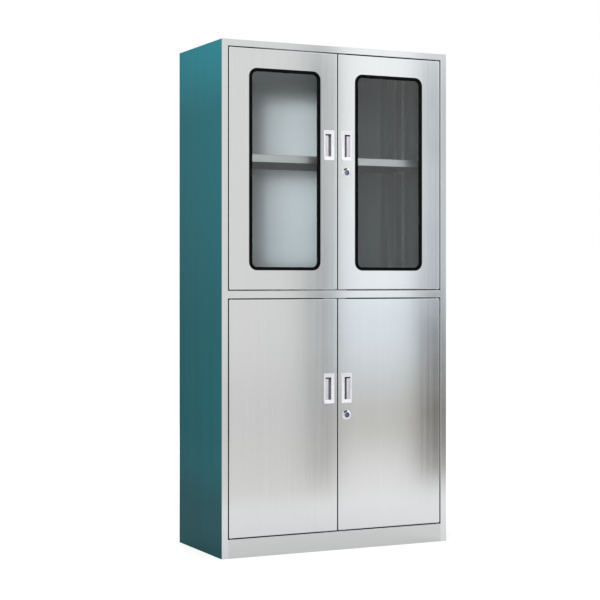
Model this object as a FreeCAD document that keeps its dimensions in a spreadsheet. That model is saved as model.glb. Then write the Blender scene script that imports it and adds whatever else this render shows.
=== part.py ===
import FreeCAD, Part
import os
import re
from dataclasses import dataclass

import Sketcher
from FreeCAD import Placement, Rotation, Vector

# Medicine cabinet of folded sheet steel: two glazed doors over two plain doors.
# Millimetres. X runs to the right, Y from the front to the back and Z up.
# The origin lies on the floor, under the middle of the carcase.

# Driving sizes: name, value and what it measures. Each is a cell of the sheet.
SIZES = (
    # Carcase
    ("width", 900, "overall width"),
    ("depth", 400, "front face to back face"),
    ("height", 1800, "overall height"),
    ("sheet", 0.8, "thickness of panels, door skins and liners"),
    ("gauge", 1.0, "thickness of frame, shelves, strips and brackets"),
    ("overrun", 4, "how far a cutting shape runs past the face that it opens"),
    ("post_face", 24, "front post, seen from the front"),
    ("frame_depth", 40, "front face to the back of posts and rails"),
    ("frame_bend", 2.4, "outer radius of the frame's folds round the doorways"),
    ("top_rail_face", 23, "height of the top rail"),
    ("mid_rail_face", 27, "height of the rail between the doorways"),
    ("plinth_face", 66, "height of the plinth"),
    ("lower_doorway", 835, "clear height between plinth and mid rail"),
    ("rear_leg", 25, "leg of the angle in each rear corner"),
    ("tray_fold", 26, "folds round the mid and bottom panels"),
    ("rear_plinth_depth", 20, "depth of the channel under the bottom panel's rear edge"),
    ("anchor_radius", 4, "wall anchor hole"),
    ("anchor_spacing", 600, "between the two wall anchor holes"),
    ("anchor_drop", 36, "top of the cabinet to the wall anchor holes"),
    # Doors
    ("door_gap", 3.2, "gap round each door"),
    ("door_depth", 20, "front face to back face of a door"),
    ("door_corner", 3.5, "radius of a door's corners seen from the front"),
    ("door_bend", 3, "outer radius of the folds round a door's face"),
    ("liner_fold", 5, "depth of the folds round a door's liner"),
    ("stiffener_width", 60, "hat channel inside a plain door"),
    ("stiffener_end", 60, "door end to the end of the stiffener"),
    # Windows
    ("window_margin", 68, "door edge to gasket at top, bottom and meeting edge"),
    ("window_hinge_margin", 76, "hinge edge of the door to the gasket"),
    ("gasket_face", 11.6, "width of the gasket, seen from the front"),
    ("gasket_corner", 30, "outer corner radius of the gasket"),
    ("gasket_proud", 2.2, "gasket lip in front of the door face"),
    ("gasket_depth", 7.5, "door face to the back of the gasket"),
    ("gasket_round", 1.1, "rounding of the gasket's front edges"),
    ("gasket_lap", 5, "how far the gasket laps over the skin"),
    ("glass_bite", 4.6, "how far the glass sits in the gasket"),
    ("glass_thickness", 4, "glass pane"),
    ("seat_clearance", 0.3, "play round a piece that sits in a cut-out"),
    ("liner_reveal", 6, "space between the gasket and the liner's window"),
    # Handles
    ("handle_width", 41, "bezel width"),
    ("handle_height", 107, "bezel height"),
    ("handle_offset", 35, "middle of the cabinet to the middle of a handle"),
    ("upper_handle_share", 0.61, "height of an upper handle in its doorway, as a share of the doorway"),
    ("lower_handle_share", 0.613, "height of a lower handle in its doorway, as a share of the doorway"),
    ("bezel_thickness", 2.5, "bezel in front of the door face"),
    ("bezel_corner", 3, "corner radius of the bezel"),
    ("bezel_round", 1.2, "rounding of the bezel's front edge"),
    ("grip_width", 23.5, "finger opening, across"),
    ("grip_height", 80, "finger opening, up and down"),
    ("grip_margin", 5.5, "bezel edge to finger opening on the hinge side"),
    ("grip_slot", 10, "deep part of the finger opening, beside the lip"),
    ("grip_head", 5, "deep part of the finger opening, along its upper end"),
    ("grip_shelf", 3.5, "bezel front to the shallow part of the finger opening"),
    ("grip_undercut", 8, "how far the pocket runs on behind the lip"),
    ("grip_lip", 3.5, "thickness of the lip that the fingers pull on"),
    ("cup_depth", 14.5, "door face to the back of the cup"),
    ("cup_wall", 1.5, "walls of the cup"),
    # Locks
    ("lock_drop", 96, "middle of a handle down to the lock"),
    ("lock_offset", 35, "middle of the cabinet to the lock"),
    ("ring_radius", 17, "front ring of the lock"),
    ("ring_proud", 4.2, "front ring, in front of the door face"),
    ("ring_face_radius", 11.5, "flat face of the front ring"),
    ("ring_edge", 1.6, "straight edge of the front ring"),
    ("barrel_radius", 9.5, "barrel behind the door face"),
    ("barrel_tail", 0.8, "barrel past the back of the door"),
    ("plug_radius", 7, "turning plug"),
    ("plug_recess", 0.6, "plug face behind the ring's face"),
    ("turning_clearance", 0.05, "radial play of turning pieces and fits"),
    ("keyway_width", 2, "keyway across"),
    ("keyway_height", 8, "keyway up and down"),
    ("keyway_depth", 10, "keyway into the plug"),
    ("nut_radius", 14, "lock nut across its corners, halved"),
    ("nut_thickness", 4, "lock nut"),
    ("lock_access_radius", 18, "hole in the liner behind the lock"),
    ("cam_width", 16, "cam"),
    ("cam_reach", 45, "lock axis to the tip of the cam"),
    ("cam_thickness", 2, "cam"),
    ("cam_clearance", 0.6, "cam behind the strike plate"),
    ("cam_boss_radius", 4, "boss of the plug that carries the cam"),
    ("cam_screw_radius", 5.5, "screw head that holds the cam"),
    ("cam_screw_height", 2.2, "screw head that holds the cam"),
    ("strike_thickness", 1.2, "strike plate"),
    ("strike_width", 20, "strike plate"),
    ("strike_height", 44, "strike plate"),
    ("strike_edge", 2, "meeting edge to strike plate"),
    # Door pivots
    ("pivot_inset", 10, "hinge edge of a door to its pivot"),
    ("pivot_setback", 6.5, "door face to the pivot"),
    ("pin_radius", 3, "hinge pin"),
    ("pin_reach", 8, "hinge pin inside its bush"),
    ("pin_collar_radius", 5, "collar that carries the door on the bush"),
    ("pin_collar", 1, "thickness of the collar"),
    ("pin_plate_length", 22, "plate that holds the pin, along the door's end"),
    ("pin_plate_width", 12, "plate that holds the pin, from front to back"),
    ("pin_plate_thickness", 2.5, "plate that holds the pin"),
    ("bush_radius", 5, "bush body"),
    ("bush_flange_radius", 6.2, "bush flange"),
    ("bush_length", 9, "bush body"),
    ("thrust_clearance", 0.1, "between collar and bush flange"),
    # Bolts
    ("bolt_radius", 4, "bolt rod"),
    ("bolt_length", 80, "bolt rod"),
    ("bolt_inset", 16, "meeting edge to bolt"),
    ("bolt_recess", 1, "drawn bolt, behind the end of the door"),
    ("bolt_travel", 12, "bolt travel"),
    ("bolt_clearance", 0.3, "play of the bolt in its guides and of its knob in the slot"),
    ("bolt_slack", 0.8, "play of the bolt in the rail"),
    ("knob_radius", 3.2, "thumb knob"),
    ("knob_drop", 44, "end of the door to the thumb knob"),
    ("knob_proud", 8, "thumb knob behind the door"),
    ("guide_width", 16, "bolt guide"),
    ("guide_length", 12, "bolt guide"),
    ("guide_drop", 6, "end of the door to the first guide"),
    ("guide_front", 7, "bolt axis to the front of its guide"),
    ("guide_end", 3, "second guide to the inner end of the bolt"),
    # Door stops
    ("stop_width", 90, "stop bracket"),
    ("stop_height", 16, "stop bracket"),
    ("bumper_radius", 5, "rubber bumper"),
    ("bumper_length", 3, "rubber bumper"),
    ("bumper_gap", 0.3, "closed door to bumper"),
    ("bumper_offset", 25, "middle of the cabinet to a bumper"),
    ("bumper_drop", 8, "rail to the middle of a bumper"),
    # Shelves
    ("strip_width", 20, "slotted strip"),
    ("strip_depth", 10, "slotted strip"),
    ("strip_setback", 95, "front or back face of the cabinet to the middle of a strip"),
    ("strip_end_gap", 3, "free space at each end of a strip"),
    ("slot_width", 4, "slot in a strip"),
    ("slot_height", 14, "slot in a strip"),
    ("slot_pitch", 40, "from slot to slot"),
    ("slot_start", 14, "end of a strip to its first slot"),
    ("upper_shelf_rise", 454, "upper compartment's floor to its shelf, which takes the nearest slot"),
    ("lower_shelf_rise", 414, "lower compartment's floor to its shelf, which takes the nearest slot"),
    ("clip_width", 18, "shelf clip"),
    ("clip_height", 24, "shelf clip"),
    ("clip_thickness", 2, "shelf clip"),
    ("clip_tongue", 14, "tongue under the shelf"),
    ("hook_depth", 4, "hook of a clip, inside the strip"),
    ("hook_height", 8, "hook of a clip"),
    ("shelf_lip", 26, "folds round a shelf"),
    ("shelf_front", 46, "front face of the cabinet to the shelf"),
    ("shelf_back_gap", 3, "shelf to the rear posts"),
    ("shelf_side_gap", 0.8, "shelf to the clips"),
)

# Places and sizes that follow from the driving sizes.
DERIVED = {
    "front": "-depth/2",
    "back": "depth/2",
    "side": "width/2",
    "inner_side": "side - sheet",
    "inner_back": "back - sheet",
    "opening_half": "side - post_face",
    "frame_back": "front + frame_depth",
    "top_rail_base": "height - top_rail_face",
    "mid_rail_base": "plinth_face + lower_doorway",
    "mid_rail_top": "mid_rail_base + mid_rail_face",
    "hinge_edge": "door_gap - opening_half",
    "meeting_edge": "-door_gap/2",
    "door_back": "front + door_depth",
    "pivot_x": "hinge_edge + pivot_inset",
    "pivot_y": "front + pivot_setback",
    "bush_flange": "door_gap - pin_collar - thrust_clearance",
    "bolt_x": "meeting_edge - bolt_inset",
    "bolt_y": "front + door_depth/2",
    "grip_left": "grip_margin - handle_width/2 - handle_offset",
    "grip_right": "grip_left + grip_width",
    "pocket_right": "grip_right + grip_undercut",
    "stop_front": "door_back + bumper_gap + bumper_length",
    "cam_front": "door_depth + strike_thickness + cam_clearance",
    "strip_face": "strip_depth - inner_side",
    "lowest_shelf_rise": "strip_end_gap + slot_start + slot_height/2 - clip_height/2 + clip_thickness",
    "upper_handle": "mid_rail_top + upper_handle_share*(top_rail_base - mid_rail_top)",
    "lower_handle": "plinth_face + lower_handle_share*lower_doorway",
    "shelf_half": "inner_side - strip_depth - clip_thickness - shelf_side_gap",
    "mid_tray_base": "mid_rail_top - tray_fold",
    "bottom_tray_base": "plinth_face - tray_fold",
}

SIZE_NAMES = {name for name, _, _ in SIZES}
UP = 1
DOWN = -1
SAME_PLACE = 1e-4

doc = FreeCAD.newDocument("medicine_cabinet")
sizes = doc.addObject("Spreadsheet::Sheet", "dims")
for row, (size_name, size_value, size_note) in enumerate(SIZES, start=1):
    sizes.set(f"A{row}", size_name)
    sizes.set(f"B{row}", str(size_value))
    sizes.set(f"C{row}", size_note)
    sizes.setAlias(f"B{row}", size_name)
doc.recompute()

# The finished sub-parts, in the order in which they are written.
nodes = []


def formula(text):
    """Turn a sum of size names into an expression on the sheet."""

    def swap(match):
        word = match[0]
        if word in DERIVED:
            return f"({formula(DERIVED[word])})"
        return f"dims.{word}" if word in SIZE_NAMES else word

    return re.sub(r"[a-z_]+", swap, text)


def value(text):
    """The present value of a sum of size names."""
    return float(sizes.evalExpression(formula(text)))


def bind(item, values):
    """Bind properties of a document object to sums of size names."""
    for path, text in values.items():
        item.setExpression(path, formula(text))


def about(middle, extent):
    """The two ends of an extent that is centred on a place."""
    return (f"{middle} - ({extent})/2", f"{middle} + ({extent})/2")


def beyond(end, way, near, far):
    """The two ends of a stretch that starts and stops beyond a face, measured up or down from it."""
    if way == UP:
        return (f"{end} + {near}", f"{end} + {far}")
    return (f"{end} - ({far})", f"{end} - ({near})")


def finished(label, item):
    """Note a finished sub-part under its own label."""
    item.Label = label
    nodes.append(item)
    return item


def plate(name, x, y, z):
    """A box between two places on each axis."""
    item = doc.addObject("Part::Box", name)
    for side, axis, (low, high) in zip(("Length", "Width", "Height"), "xyz", (x, y, z)):
        bind(item, {side: f"{high} - ({low})", f"Placement.Base.{axis}": low})
    return item


def set_along(item, axis, centre, stretch):
    """Stand a round or six-sided bar on the low end of its stretch, along Y or along Z."""
    if axis == "y":
        item.Placement = Placement(Vector(), Rotation(Vector(1, 0, 0), -90))
    across, upright = centre
    low, high = stretch
    base = (across, low, upright) if axis == "y" else (across, upright, low)
    bind(item, {"Height": f"{high} - ({low})"})
    bind(item, {f"Placement.Base.{name}": text for name, text in zip("xyz", base)})


def rod(name, axis, centre, radius, stretch):
    """A cylinder along Y (centre in X and Z) or along Z (centre in X and Y)."""
    item = doc.addObject("Part::Cylinder", name)
    bind(item, {"Radius": radius})
    set_along(item, axis, centre, stretch)
    return item


def joined(name, *items):
    """One solid from several that touch, or one cutting shape from several."""
    result = doc.addObject("Part::MultiFuse", name)
    result.Shapes = list(items)
    result.Refine = True
    return result


def cut(name, base, *tools):
    """A shape with others taken out of it."""
    result = doc.addObject("Part::Cut", name)
    result.Base = base
    result.Tool = tools[0] if len(tools) == 1 else joined(f"{name}_cutters", *tools)
    return result


def group(name, *items):
    """Several separate solids in one sub-part."""
    result = doc.addObject("Part::Compound", name)
    result.Links = list(items)
    return result


def mirrored(name, source):
    """The right-hand copy of a left-hand piece."""
    result = doc.addObject("Part::Mirroring", name)
    result.Source = source
    result.Normal = Vector(1, 0, 0)
    return result


def drawn(body, role, offset, *loops):
    """A sketch of closed outlines on one of the body's own planes, each corner bound to its sizes."""
    sketch = body.newObject("Sketcher::SketchObject", f"{body.Name}_outline")
    plane = next(item for item in body.Origin.OriginFeatures if item.Role == role)
    sketch.AttachmentSupport = [(plane, "")]
    sketch.MapMode = "FlatFace"
    bind(sketch, {"AttachmentOffset.Base.z": offset})
    for loop in loops:
        first = sketch.GeometryCount
        corners = [Vector(value(across), value(along), 0) for across, along in loop]
        for start, end in zip(corners, corners[1:] + corners[:1]):
            sketch.addGeometry(Part.LineSegment(start, end), False)
        for step, (across, along) in enumerate(loop):
            line = first + step
            following = first + (step + 1) % len(loop)
            sketch.addConstraint(Sketcher.Constraint("Coincident", line, 2, following, 1))
            for kind, text in (("DistanceX", across), ("DistanceY", along)):
                rule = Sketcher.Constraint(kind, -1, 1, line, 1, value(text))
                bind(sketch, {f"Constraints[{sketch.addConstraint(rule)}]": text})
    return sketch


def rectangle(across, along):
    """The four corners of a rectangle between two places each way."""
    low, high = across
    bottom, top = along
    return ((low, bottom), (high, bottom), (high, top), (low, top))


def section(name, role, stretch, *loops):
    """A body of one outline, padded along X (YZ_Plane) or along Z (XY_Plane)."""
    body = doc.addObject("PartDesign::Body", name)
    low, high = stretch
    sketch = drawn(body, role, low, *loops)
    pad = body.newObject("PartDesign::Pad", f"{name}_pad")
    pad.Profile = sketch
    bind(pad, {"Length": f"{high} - ({low})"})
    return body


def turned(name, role, centre, outline):
    """A body turned about Y (XY_Plane) or Z (XZ_Plane) through a point, its outline in radius and height."""
    body = doc.addObject("PartDesign::Body", name)
    sketch = drawn(body, role, "0", outline)
    turning = body.newObject("PartDesign::Revolution", f"{name}_turning")
    turning.Profile = sketch
    turning.ReferenceAxis = (sketch, ["V_Axis"])
    turning.Angle = 360
    bind(body, {f"Placement.Base.{axis}": text for axis, text in zip("xyz", centre)})
    return body


def rounded(body, radius, chosen):
    """Round the chosen edges of a body."""
    doc.recompute()
    base = body.Tip
    names = [f"Edge{index}" for index, edge in enumerate(base.Shape.Edges, start=1) if chosen(edge)]
    rounding = body.newObject("PartDesign::Fillet", f"{body.Name}_rounding")
    rounding.Base = (base, names)
    bind(rounding, {"Radius": radius})
    body.Tip = rounding


def runs_at(edge, axis, place):
    """Whether an edge runs along X at a place in Y and Z, or along Z at a place in X and Y."""
    middle = edge.BoundBox.Center
    length = edge.BoundBox.XLength if axis == "x" else edge.BoundBox.ZLength
    found = (middle.y, middle.z) if axis == "x" else (middle.x, middle.y)
    near = all(abs(here - there) < SAME_PLACE for here, there in zip(found, place))
    return near and length > edge.BoundBox.DiagonalLength / 2


def block(name, x, y, z, corner=None, rim=None):
    """A body with a rectangular face in X and Z, its corners and its front rim rounded."""
    body = doc.addObject("PartDesign::Body", name)
    front_end, back_end = y
    sketch = drawn(body, "XZ_Plane", f"-({back_end})", rectangle(x, z))
    pad = body.newObject("PartDesign::Pad", f"{name}_pad")
    pad.Profile = sketch
    bind(pad, {"Length": f"{back_end} - ({front_end})"})
    if corner:
        rounded(body, corner, lambda edge: edge.BoundBox.YLength > edge.BoundBox.DiagonalLength / 2)
    if rim:
        face = value(front_end)
        rounded(body, rim, lambda edge: abs(edge.BoundBox.YMax - face) < edge.Tolerance)
    return body


# Carcase


def build_panels():
    """Side, back and top sheets, and the two folded trays that floor the compartments."""
    left = plate("left_side_panel", ("-side", "-inner_side"), ("front + gauge", "back"), ("0", "height"))
    finished("left_side_panel", left)
    finished("right_side_panel", mirrored("right_side_panel", left))

    inside = ("-inner_side", "inner_side")
    back_sheet = plate("back_sheet", inside, ("inner_back", "back"), ("0", "height - sheet"))
    anchors = [
        rod(
            f"{hand}_anchor_hole",
            "y",
            (f"{sign}anchor_spacing/2", "height - anchor_drop"),
            "anchor_radius",
            ("inner_back - overrun", "back + overrun"),
        )
        for hand, sign in (("left", "-"), ("right", ""))
    ]
    finished("back_panel", cut("back_panel", back_sheet, *anchors))
    top = plate("top_panel", inside, ("front", "inner_back"), ("height - sheet", "height"))
    finished("top_panel", top)
    finished("mid_panel", tray("mid_panel", "mid_tray_base", "mid_rail_top"))
    finished("bottom_panel", tray("bottom_panel", "bottom_tray_base", "plinth_face"))


def tray(name, base, top):
    """A sheet with folds turned down all round, between the frame and the rear posts."""
    half = "inner_side - gauge"
    end = "inner_back - gauge"
    outside = plate(f"{name}_outside", (f"-({half})", half), ("frame_back", end), (base, top))
    inside = plate(
        f"{name}_inside",
        (f"sheet - ({half})", f"{half} - sheet"),
        ("frame_back + sheet", f"{end} - sheet"),
        (f"{base} - overrun", f"{top} - sheet"),
    )
    return cut(name, outside, inside)


def build_posts():
    """Front posts, folded as box sections with a lip over the side panels, and rear angles."""
    standing = ("0", "height - sheet")
    tube = (
        ("-side", "front"),
        ("-opening_half", "front"),
        ("-opening_half", "frame_back"),
        ("-inner_side", "frame_back"),
        ("-inner_side", "front + gauge"),
        ("-side", "front + gauge"),
    )
    hollow = rectangle(
        ("gauge - inner_side", "-opening_half - gauge"), ("front + gauge", "frame_back - gauge")
    )
    blank = section("front_post_section", "XY_Plane", standing, tube, hollow)
    inner_fold = (value("-opening_half - gauge"), value("front + gauge"))
    rounded(blank, "frame_bend - gauge", lambda edge: runs_at(edge, "z", inner_fold))
    folds = [
        jamb_cutter("lower_jamb", ("plinth_face", "mid_rail_base")),
        jamb_cutter("upper_jamb", ("mid_rail_top", "top_rail_base")),
    ]
    left = cut("left_front_post", blank, *folds)
    finished("left_front_post", left)
    finished("right_front_post", mirrored("right_front_post", left))

    angle = (
        ("-inner_side", "inner_back - rear_leg"),
        ("gauge - inner_side", "inner_back - rear_leg"),
        ("gauge - inner_side", "inner_back - gauge"),
        ("rear_leg - inner_side", "inner_back - gauge"),
        ("rear_leg - inner_side", "inner_back"),
        ("-inner_side", "inner_back"),
    )
    left_angle = section("left_rear_angle", "XY_Plane", standing, angle)
    finished("rear_posts", group("rear_posts", left_angle, mirrored("right_rear_angle", left_angle)))


def jamb_cutter(name, stretch):
    """What a post loses where its fold is rounded beside a doorway."""
    centre = ("-opening_half - frame_bend", "front + frame_bend")
    corner = plate(
        f"{name}_corner",
        (centre[0], "-opening_half + overrun"),
        ("front - overrun", centre[1]),
        stretch,
    )
    return cut(name, corner, rod(f"{name}_fold", "z", centre, "frame_bend", stretch))


def build_rails():
    """Top rail, mid rail and plinth between the posts, pierced for bushes and bolts, and the rear plinth."""
    across = ("-opening_half", "opening_half")
    top_channel = (
        ("front", "top_rail_base"),
        ("frame_back", "top_rail_base"),
        ("frame_back", "height - sheet"),
        ("frame_back - gauge", "height - sheet"),
        ("frame_back - gauge", "top_rail_base + gauge"),
        ("front + gauge", "top_rail_base + gauge"),
        ("front + gauge", "height - sheet"),
        ("front", "height - sheet"),
    )
    mid_tube = rectangle(("front", "frame_back"), ("mid_rail_base", "mid_rail_top"))
    mid_hollow = rectangle(
        ("front + gauge", "frame_back - gauge"), ("mid_rail_base + gauge", "mid_rail_top - gauge")
    )
    plinth_channel = (
        ("front", "0"),
        ("frame_back", "0"),
        ("frame_back", "gauge"),
        ("front + gauge", "gauge"),
        ("front + gauge", "plinth_face - gauge"),
        ("frame_back", "plinth_face - gauge"),
        ("frame_back", "plinth_face"),
        ("front", "plinth_face"),
    )
    rails = (
        ("top_rail", (top_channel,), (("top_rail_base", UP),)),
        ("mid_rail", (mid_tube, mid_hollow), (("mid_rail_base", UP), ("mid_rail_top", DOWN))),
        ("plinth", (plinth_channel,), (("plinth_face", DOWN),)),
    )
    for name, loops, flanges in rails:
        blank = section(f"{name}_section", "YZ_Plane", across, *loops)
        for flange, way in flanges:
            outer_fold = (value("front"), value(flange))
            inner_fold = (value("front + gauge"), value(f"{flange} + {way}*gauge"))
            for radius, fold in (("frame_bend", outer_fold), ("frame_bend - gauge", inner_fold)):
                rounded(blank, radius, lambda edge, fold=fold: runs_at(edge, "x", fold))
        holes = [hole for flange, _ in flanges for hole in rail_holes(name, flange)]
        finished(name, cut(name, blank, *holes))

    rear_outside = plate(
        "rear_plinth_outside",
        ("gauge - inner_side", "inner_side - gauge"),
        ("inner_back - gauge - rear_plinth_depth", "inner_back - gauge"),
        ("0", "bottom_tray_base"),
    )
    rear_inside = plate(
        "rear_plinth_inside",
        ("-inner_side", "inner_side"),
        ("inner_back - rear_plinth_depth", "inner_back"),
        ("gauge", "bottom_tray_base - gauge"),
    )
    finished("rear_plinth", cut("rear_plinth", rear_outside, rear_inside))


def rail_holes(name, flange):
    """Two bush holes and one bolt hole through a rail's flange."""
    through = (f"{flange} - 2*gauge", f"{flange} + 2*gauge")
    bush = "bush_radius + turning_clearance"
    return (
        rod(f"{name}_{flange}_left_bush_hole", "z", ("pivot_x", "pivot_y"), bush, through),
        rod(f"{name}_{flange}_right_bush_hole", "z", ("-pivot_x", "pivot_y"), bush, through),
        rod(f"{name}_{flange}_bolt_hole", "z", ("bolt_x", "bolt_y"), "bolt_radius + bolt_slack", through),
    )


# The four faces that the doors turn and bolt against, and the way into the rail from each.
RAIL_FACES = (
    ("top_rail_base", UP),
    ("mid_rail_top", DOWN),
    ("mid_rail_base", UP),
    ("plinth_face", DOWN),
)


def build_rail_fittings():
    """Hinge bushes, door stops and rubber bumpers on the faces of the rails."""
    bushes = []
    stops = []
    bumpers = []
    for face, way in RAIL_FACES:
        left_bush = turned(f"{face}_bush", "XZ_Plane", ("pivot_x", "pivot_y", face), bush_outline(way))
        bushes += [left_bush, mirrored(f"{face}_right_bush", left_bush)]

        across = about("0", "stop_width")
        upright = plate(
            f"{face}_stop_upright",
            across,
            ("stop_front", "stop_front + gauge"),
            beyond(face, way, "-stop_height", "0"),
        )
        foot = plate(
            f"{face}_stop_foot",
            across,
            ("stop_front", "frame_back - gauge"),
            beyond(face, way, "-gauge", "0"),
        )
        stops.append(joined(f"{face}_stop", upright, foot))

        middle = f"{face} - {way}*bumper_drop"
        left_bumper = rod(
            f"{face}_bumper",
            "y",
            ("-bumper_offset", middle),
            "bumper_radius",
            ("door_back + bumper_gap", "stop_front"),
        )
        bumpers += [left_bumper, mirrored(f"{face}_right_bumper", left_bumper)]
    finished("hinge_bushes", group("hinge_bushes", *bushes))
    finished("door_stops", group("door_stops", *stops))
    finished("door_bumpers", group("door_bumpers", *bumpers))


def bush_outline(way):
    """Half of a flanged bush, in radius and in height above the face that its flange lies on."""
    bore = "pin_radius + turning_clearance"
    flange = f"-{way}*bush_flange"
    end = f"{way}*bush_length"
    return (
        (bore, flange),
        ("bush_flange_radius", flange),
        ("bush_flange_radius", "0"),
        ("bush_radius", "0"),
        ("bush_radius", end),
        (bore, end),
    )


def build_shelves():
    """Slotted strips on the side panels, clips hooked into them, and the two shelves."""
    strips = []
    clips = []
    compartments = (
        ("upper", "mid_rail_top", "height - sheet", "upper_shelf_rise"),
        ("lower", "plinth_face", "mid_tray_base", "lower_shelf_rise"),
    )
    for level, floor, ceiling, rise in compartments:
        base = f"{floor} + strip_end_gap"
        slot = f"round(({rise} - lowest_shelf_rise)/slot_pitch)"
        middle = f"{base} + slot_start + slot_height/2 + {slot}*slot_pitch"
        for row, place in (("front", "front + strip_setback"), ("rear", "back - strip_setback")):
            strip = slotted_strip(f"{level}_{row}_strip", place, base, f"{ceiling} - strip_end_gap")
            clip = shelf_clip(f"{level}_{row}_clip", place, middle)
            strips += [strip, mirrored(f"{level}_{row}_right_strip", strip)]
            clips += [clip, mirrored(f"{level}_{row}_right_clip", clip)]
        underside = f"{middle} - clip_height/2 + clip_thickness"
        finished(f"{level}_shelf", shelf(f"{level}_shelf", underside))
    finished("shelf_strips", group("shelf_strips", *strips))
    finished("shelf_clips", group("shelf_clips", *clips))


def slotted_strip(name, place, base, top):
    """A channel with its back open to the side panel and a row of slots in its face."""
    front_wall, back_wall = about(place, "strip_width")
    channel = (
        ("-inner_side", front_wall),
        ("strip_face", front_wall),
        ("strip_face", back_wall),
        ("-inner_side", back_wall),
        ("-inner_side", f"{back_wall} - gauge"),
        ("strip_face - gauge", f"{back_wall} - gauge"),
        ("strip_face - gauge", f"{front_wall} + gauge"),
        ("-inner_side", f"{front_wall} + gauge"),
    )
    body = section(name, "XY_Plane", (base, top), channel)
    first = f"{base} + slot_start"
    opening = rectangle(about(place, "slot_width"), (first, f"{first} + slot_height"))
    slot = drawn(body, "YZ_Plane", "strip_face", opening)
    doc.recompute()
    pocket = body.newObject("PartDesign::Pocket", f"{name}_slot")
    pocket.Profile = slot
    bind(pocket, {"Length": "2*gauge"})
    pattern = body.newObject("PartDesign::LinearPattern", f"{name}_slots")
    pattern.Originals = [pocket]
    pattern.Direction = (slot, ["V_Axis"])
    pattern.Mode = "Spacing"
    room = f"{top} - ({base}) - 2*slot_start - slot_height"
    bind(pattern, {"Offset": "slot_pitch", "Occurrences": f"floor(({room})/slot_pitch) + 1"})
    body.Tip = pattern
    return body


def shelf_clip(name, place, middle):
    """An angle that hooks into one slot and carries the shelf on its tongue."""
    across = about(place, "clip_width")
    base = f"{middle} - clip_height/2"
    inner_face = "strip_face + clip_thickness"
    upright = plate(
        f"{name}_upright", ("strip_face", inner_face), across, (base, f"{middle} + clip_height/2")
    )
    tongue = plate(
        f"{name}_tongue",
        ("strip_face", f"{inner_face} + clip_tongue"),
        across,
        (base, f"{base} + clip_thickness"),
    )
    hook = plate(
        f"{name}_hook",
        ("strip_face - hook_depth", "strip_face"),
        about(place, "slot_width - 2*seat_clearance"),
        about(middle, "hook_height"),
    )
    return joined(name, upright, tongue, hook)


def shelf(name, underside):
    """A pan with folds turned down on all four sides."""
    back_edge = "inner_back - gauge - shelf_back_gap"
    top = f"{underside} + shelf_lip"
    outside = plate(
        f"{name}_outside", ("-shelf_half", "shelf_half"), ("front + shelf_front", back_edge), (underside, top)
    )
    inside = plate(
        f"{name}_inside",
        ("gauge - shelf_half", "shelf_half - gauge"),
        ("front + shelf_front + gauge", f"{back_edge} - gauge"),
        (f"{underside} - overrun", f"{top} - gauge"),
    )
    return cut(name, outside, inside)


# Doors


@dataclass
class Doorway:
    """One pair of doors: its level, the places of its sill and head, and the height of its handles."""

    level: str
    sill: str
    head: str
    handle: str
    glazed: bool

    @property
    def bottom(self):
        """The lower end of the doors."""
        return f"{self.sill} + door_gap"

    @property
    def top(self):
        """The upper end of the doors."""
        return f"{self.head} - door_gap"

    @property
    def lock(self):
        """The height of the lock's axis."""
        return f"{self.handle} - lock_drop"

    @property
    def ends(self):
        """The two ends of a door, and the way out of the door at each."""
        return (("top", self.top, UP), ("bottom", self.bottom, DOWN))


def window(doorway, name, inset, y, rim=None):
    """A block with the outline of the window gasket, drawn in by an inset."""
    return block(
        name,
        (f"hinge_edge + window_hinge_margin + ({inset})", f"meeting_edge - window_margin - ({inset})"),
        y,
        (f"{doorway.bottom} + window_margin + ({inset})", f"{doorway.top} - window_margin - ({inset})"),
        corner=f"gasket_corner - ({inset})",
        rim=rim,
    )


def build_skins(doorway):
    """The outer pans of both doors, open at the back."""
    level = doorway.level
    outside = block(
        f"{level}_skin_outside",
        ("hinge_edge", "meeting_edge"),
        ("front", "door_back"),
        (doorway.bottom, doorway.top),
        corner="door_corner",
        rim="door_bend",
    )
    inside = block(
        f"{level}_skin_inside",
        ("hinge_edge + sheet", "meeting_edge - sheet"),
        ("front + sheet", "door_back + overrun"),
        (f"{doorway.bottom} + sheet", f"{doorway.top} - sheet"),
        corner="door_corner - sheet",
        rim="door_bend - sheet",
    )
    through_face = ("front - overrun", "front + sheet + overrun")
    cutters = [inside]
    cutters.append(
        plate(
            f"{level}_handle_opening",
            ("grip_left - cup_wall - seat_clearance", "pocket_right + cup_wall + seat_clearance"),
            through_face,
            about(doorway.handle, "grip_height + 2*cup_wall + 2*seat_clearance"),
        )
    )
    if doorway.glazed:
        cutters.append(window(doorway, f"{level}_skin_window", "gasket_lap", through_face))
    bolt_holes = []
    for end_name, end, _ in doorway.ends:
        through_fold = (f"{end} - 2*sheet", f"{end} + 2*sheet")
        pin_hole = "pin_radius + turning_clearance"
        cutters.append(
            rod(f"{level}_{end_name}_pin_hole", "z", ("pivot_x", "pivot_y"), pin_hole, through_fold)
        )
        bolt_hole = "bolt_radius + bolt_clearance"
        bolt_holes.append(
            rod(f"{level}_{end_name}_bolt_hole", "z", ("bolt_x", "bolt_y"), bolt_hole, through_fold)
        )
    blank = cut(f"{level}_skin_blank", outside, *cutters)
    lock_hole = rod(
        f"{level}_lock_hole",
        "y",
        ("lock_offset", doorway.lock),
        "barrel_radius + turning_clearance",
        through_face,
    )
    finished(f"{level}_left_door_skin", cut(f"{level}_left_door_skin", blank, *bolt_holes))
    right_blank = mirrored(f"{level}_right_skin_blank", blank)
    finished(f"{level}_right_door_skin", cut(f"{level}_right_door_skin", right_blank, lock_hole))


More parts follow.
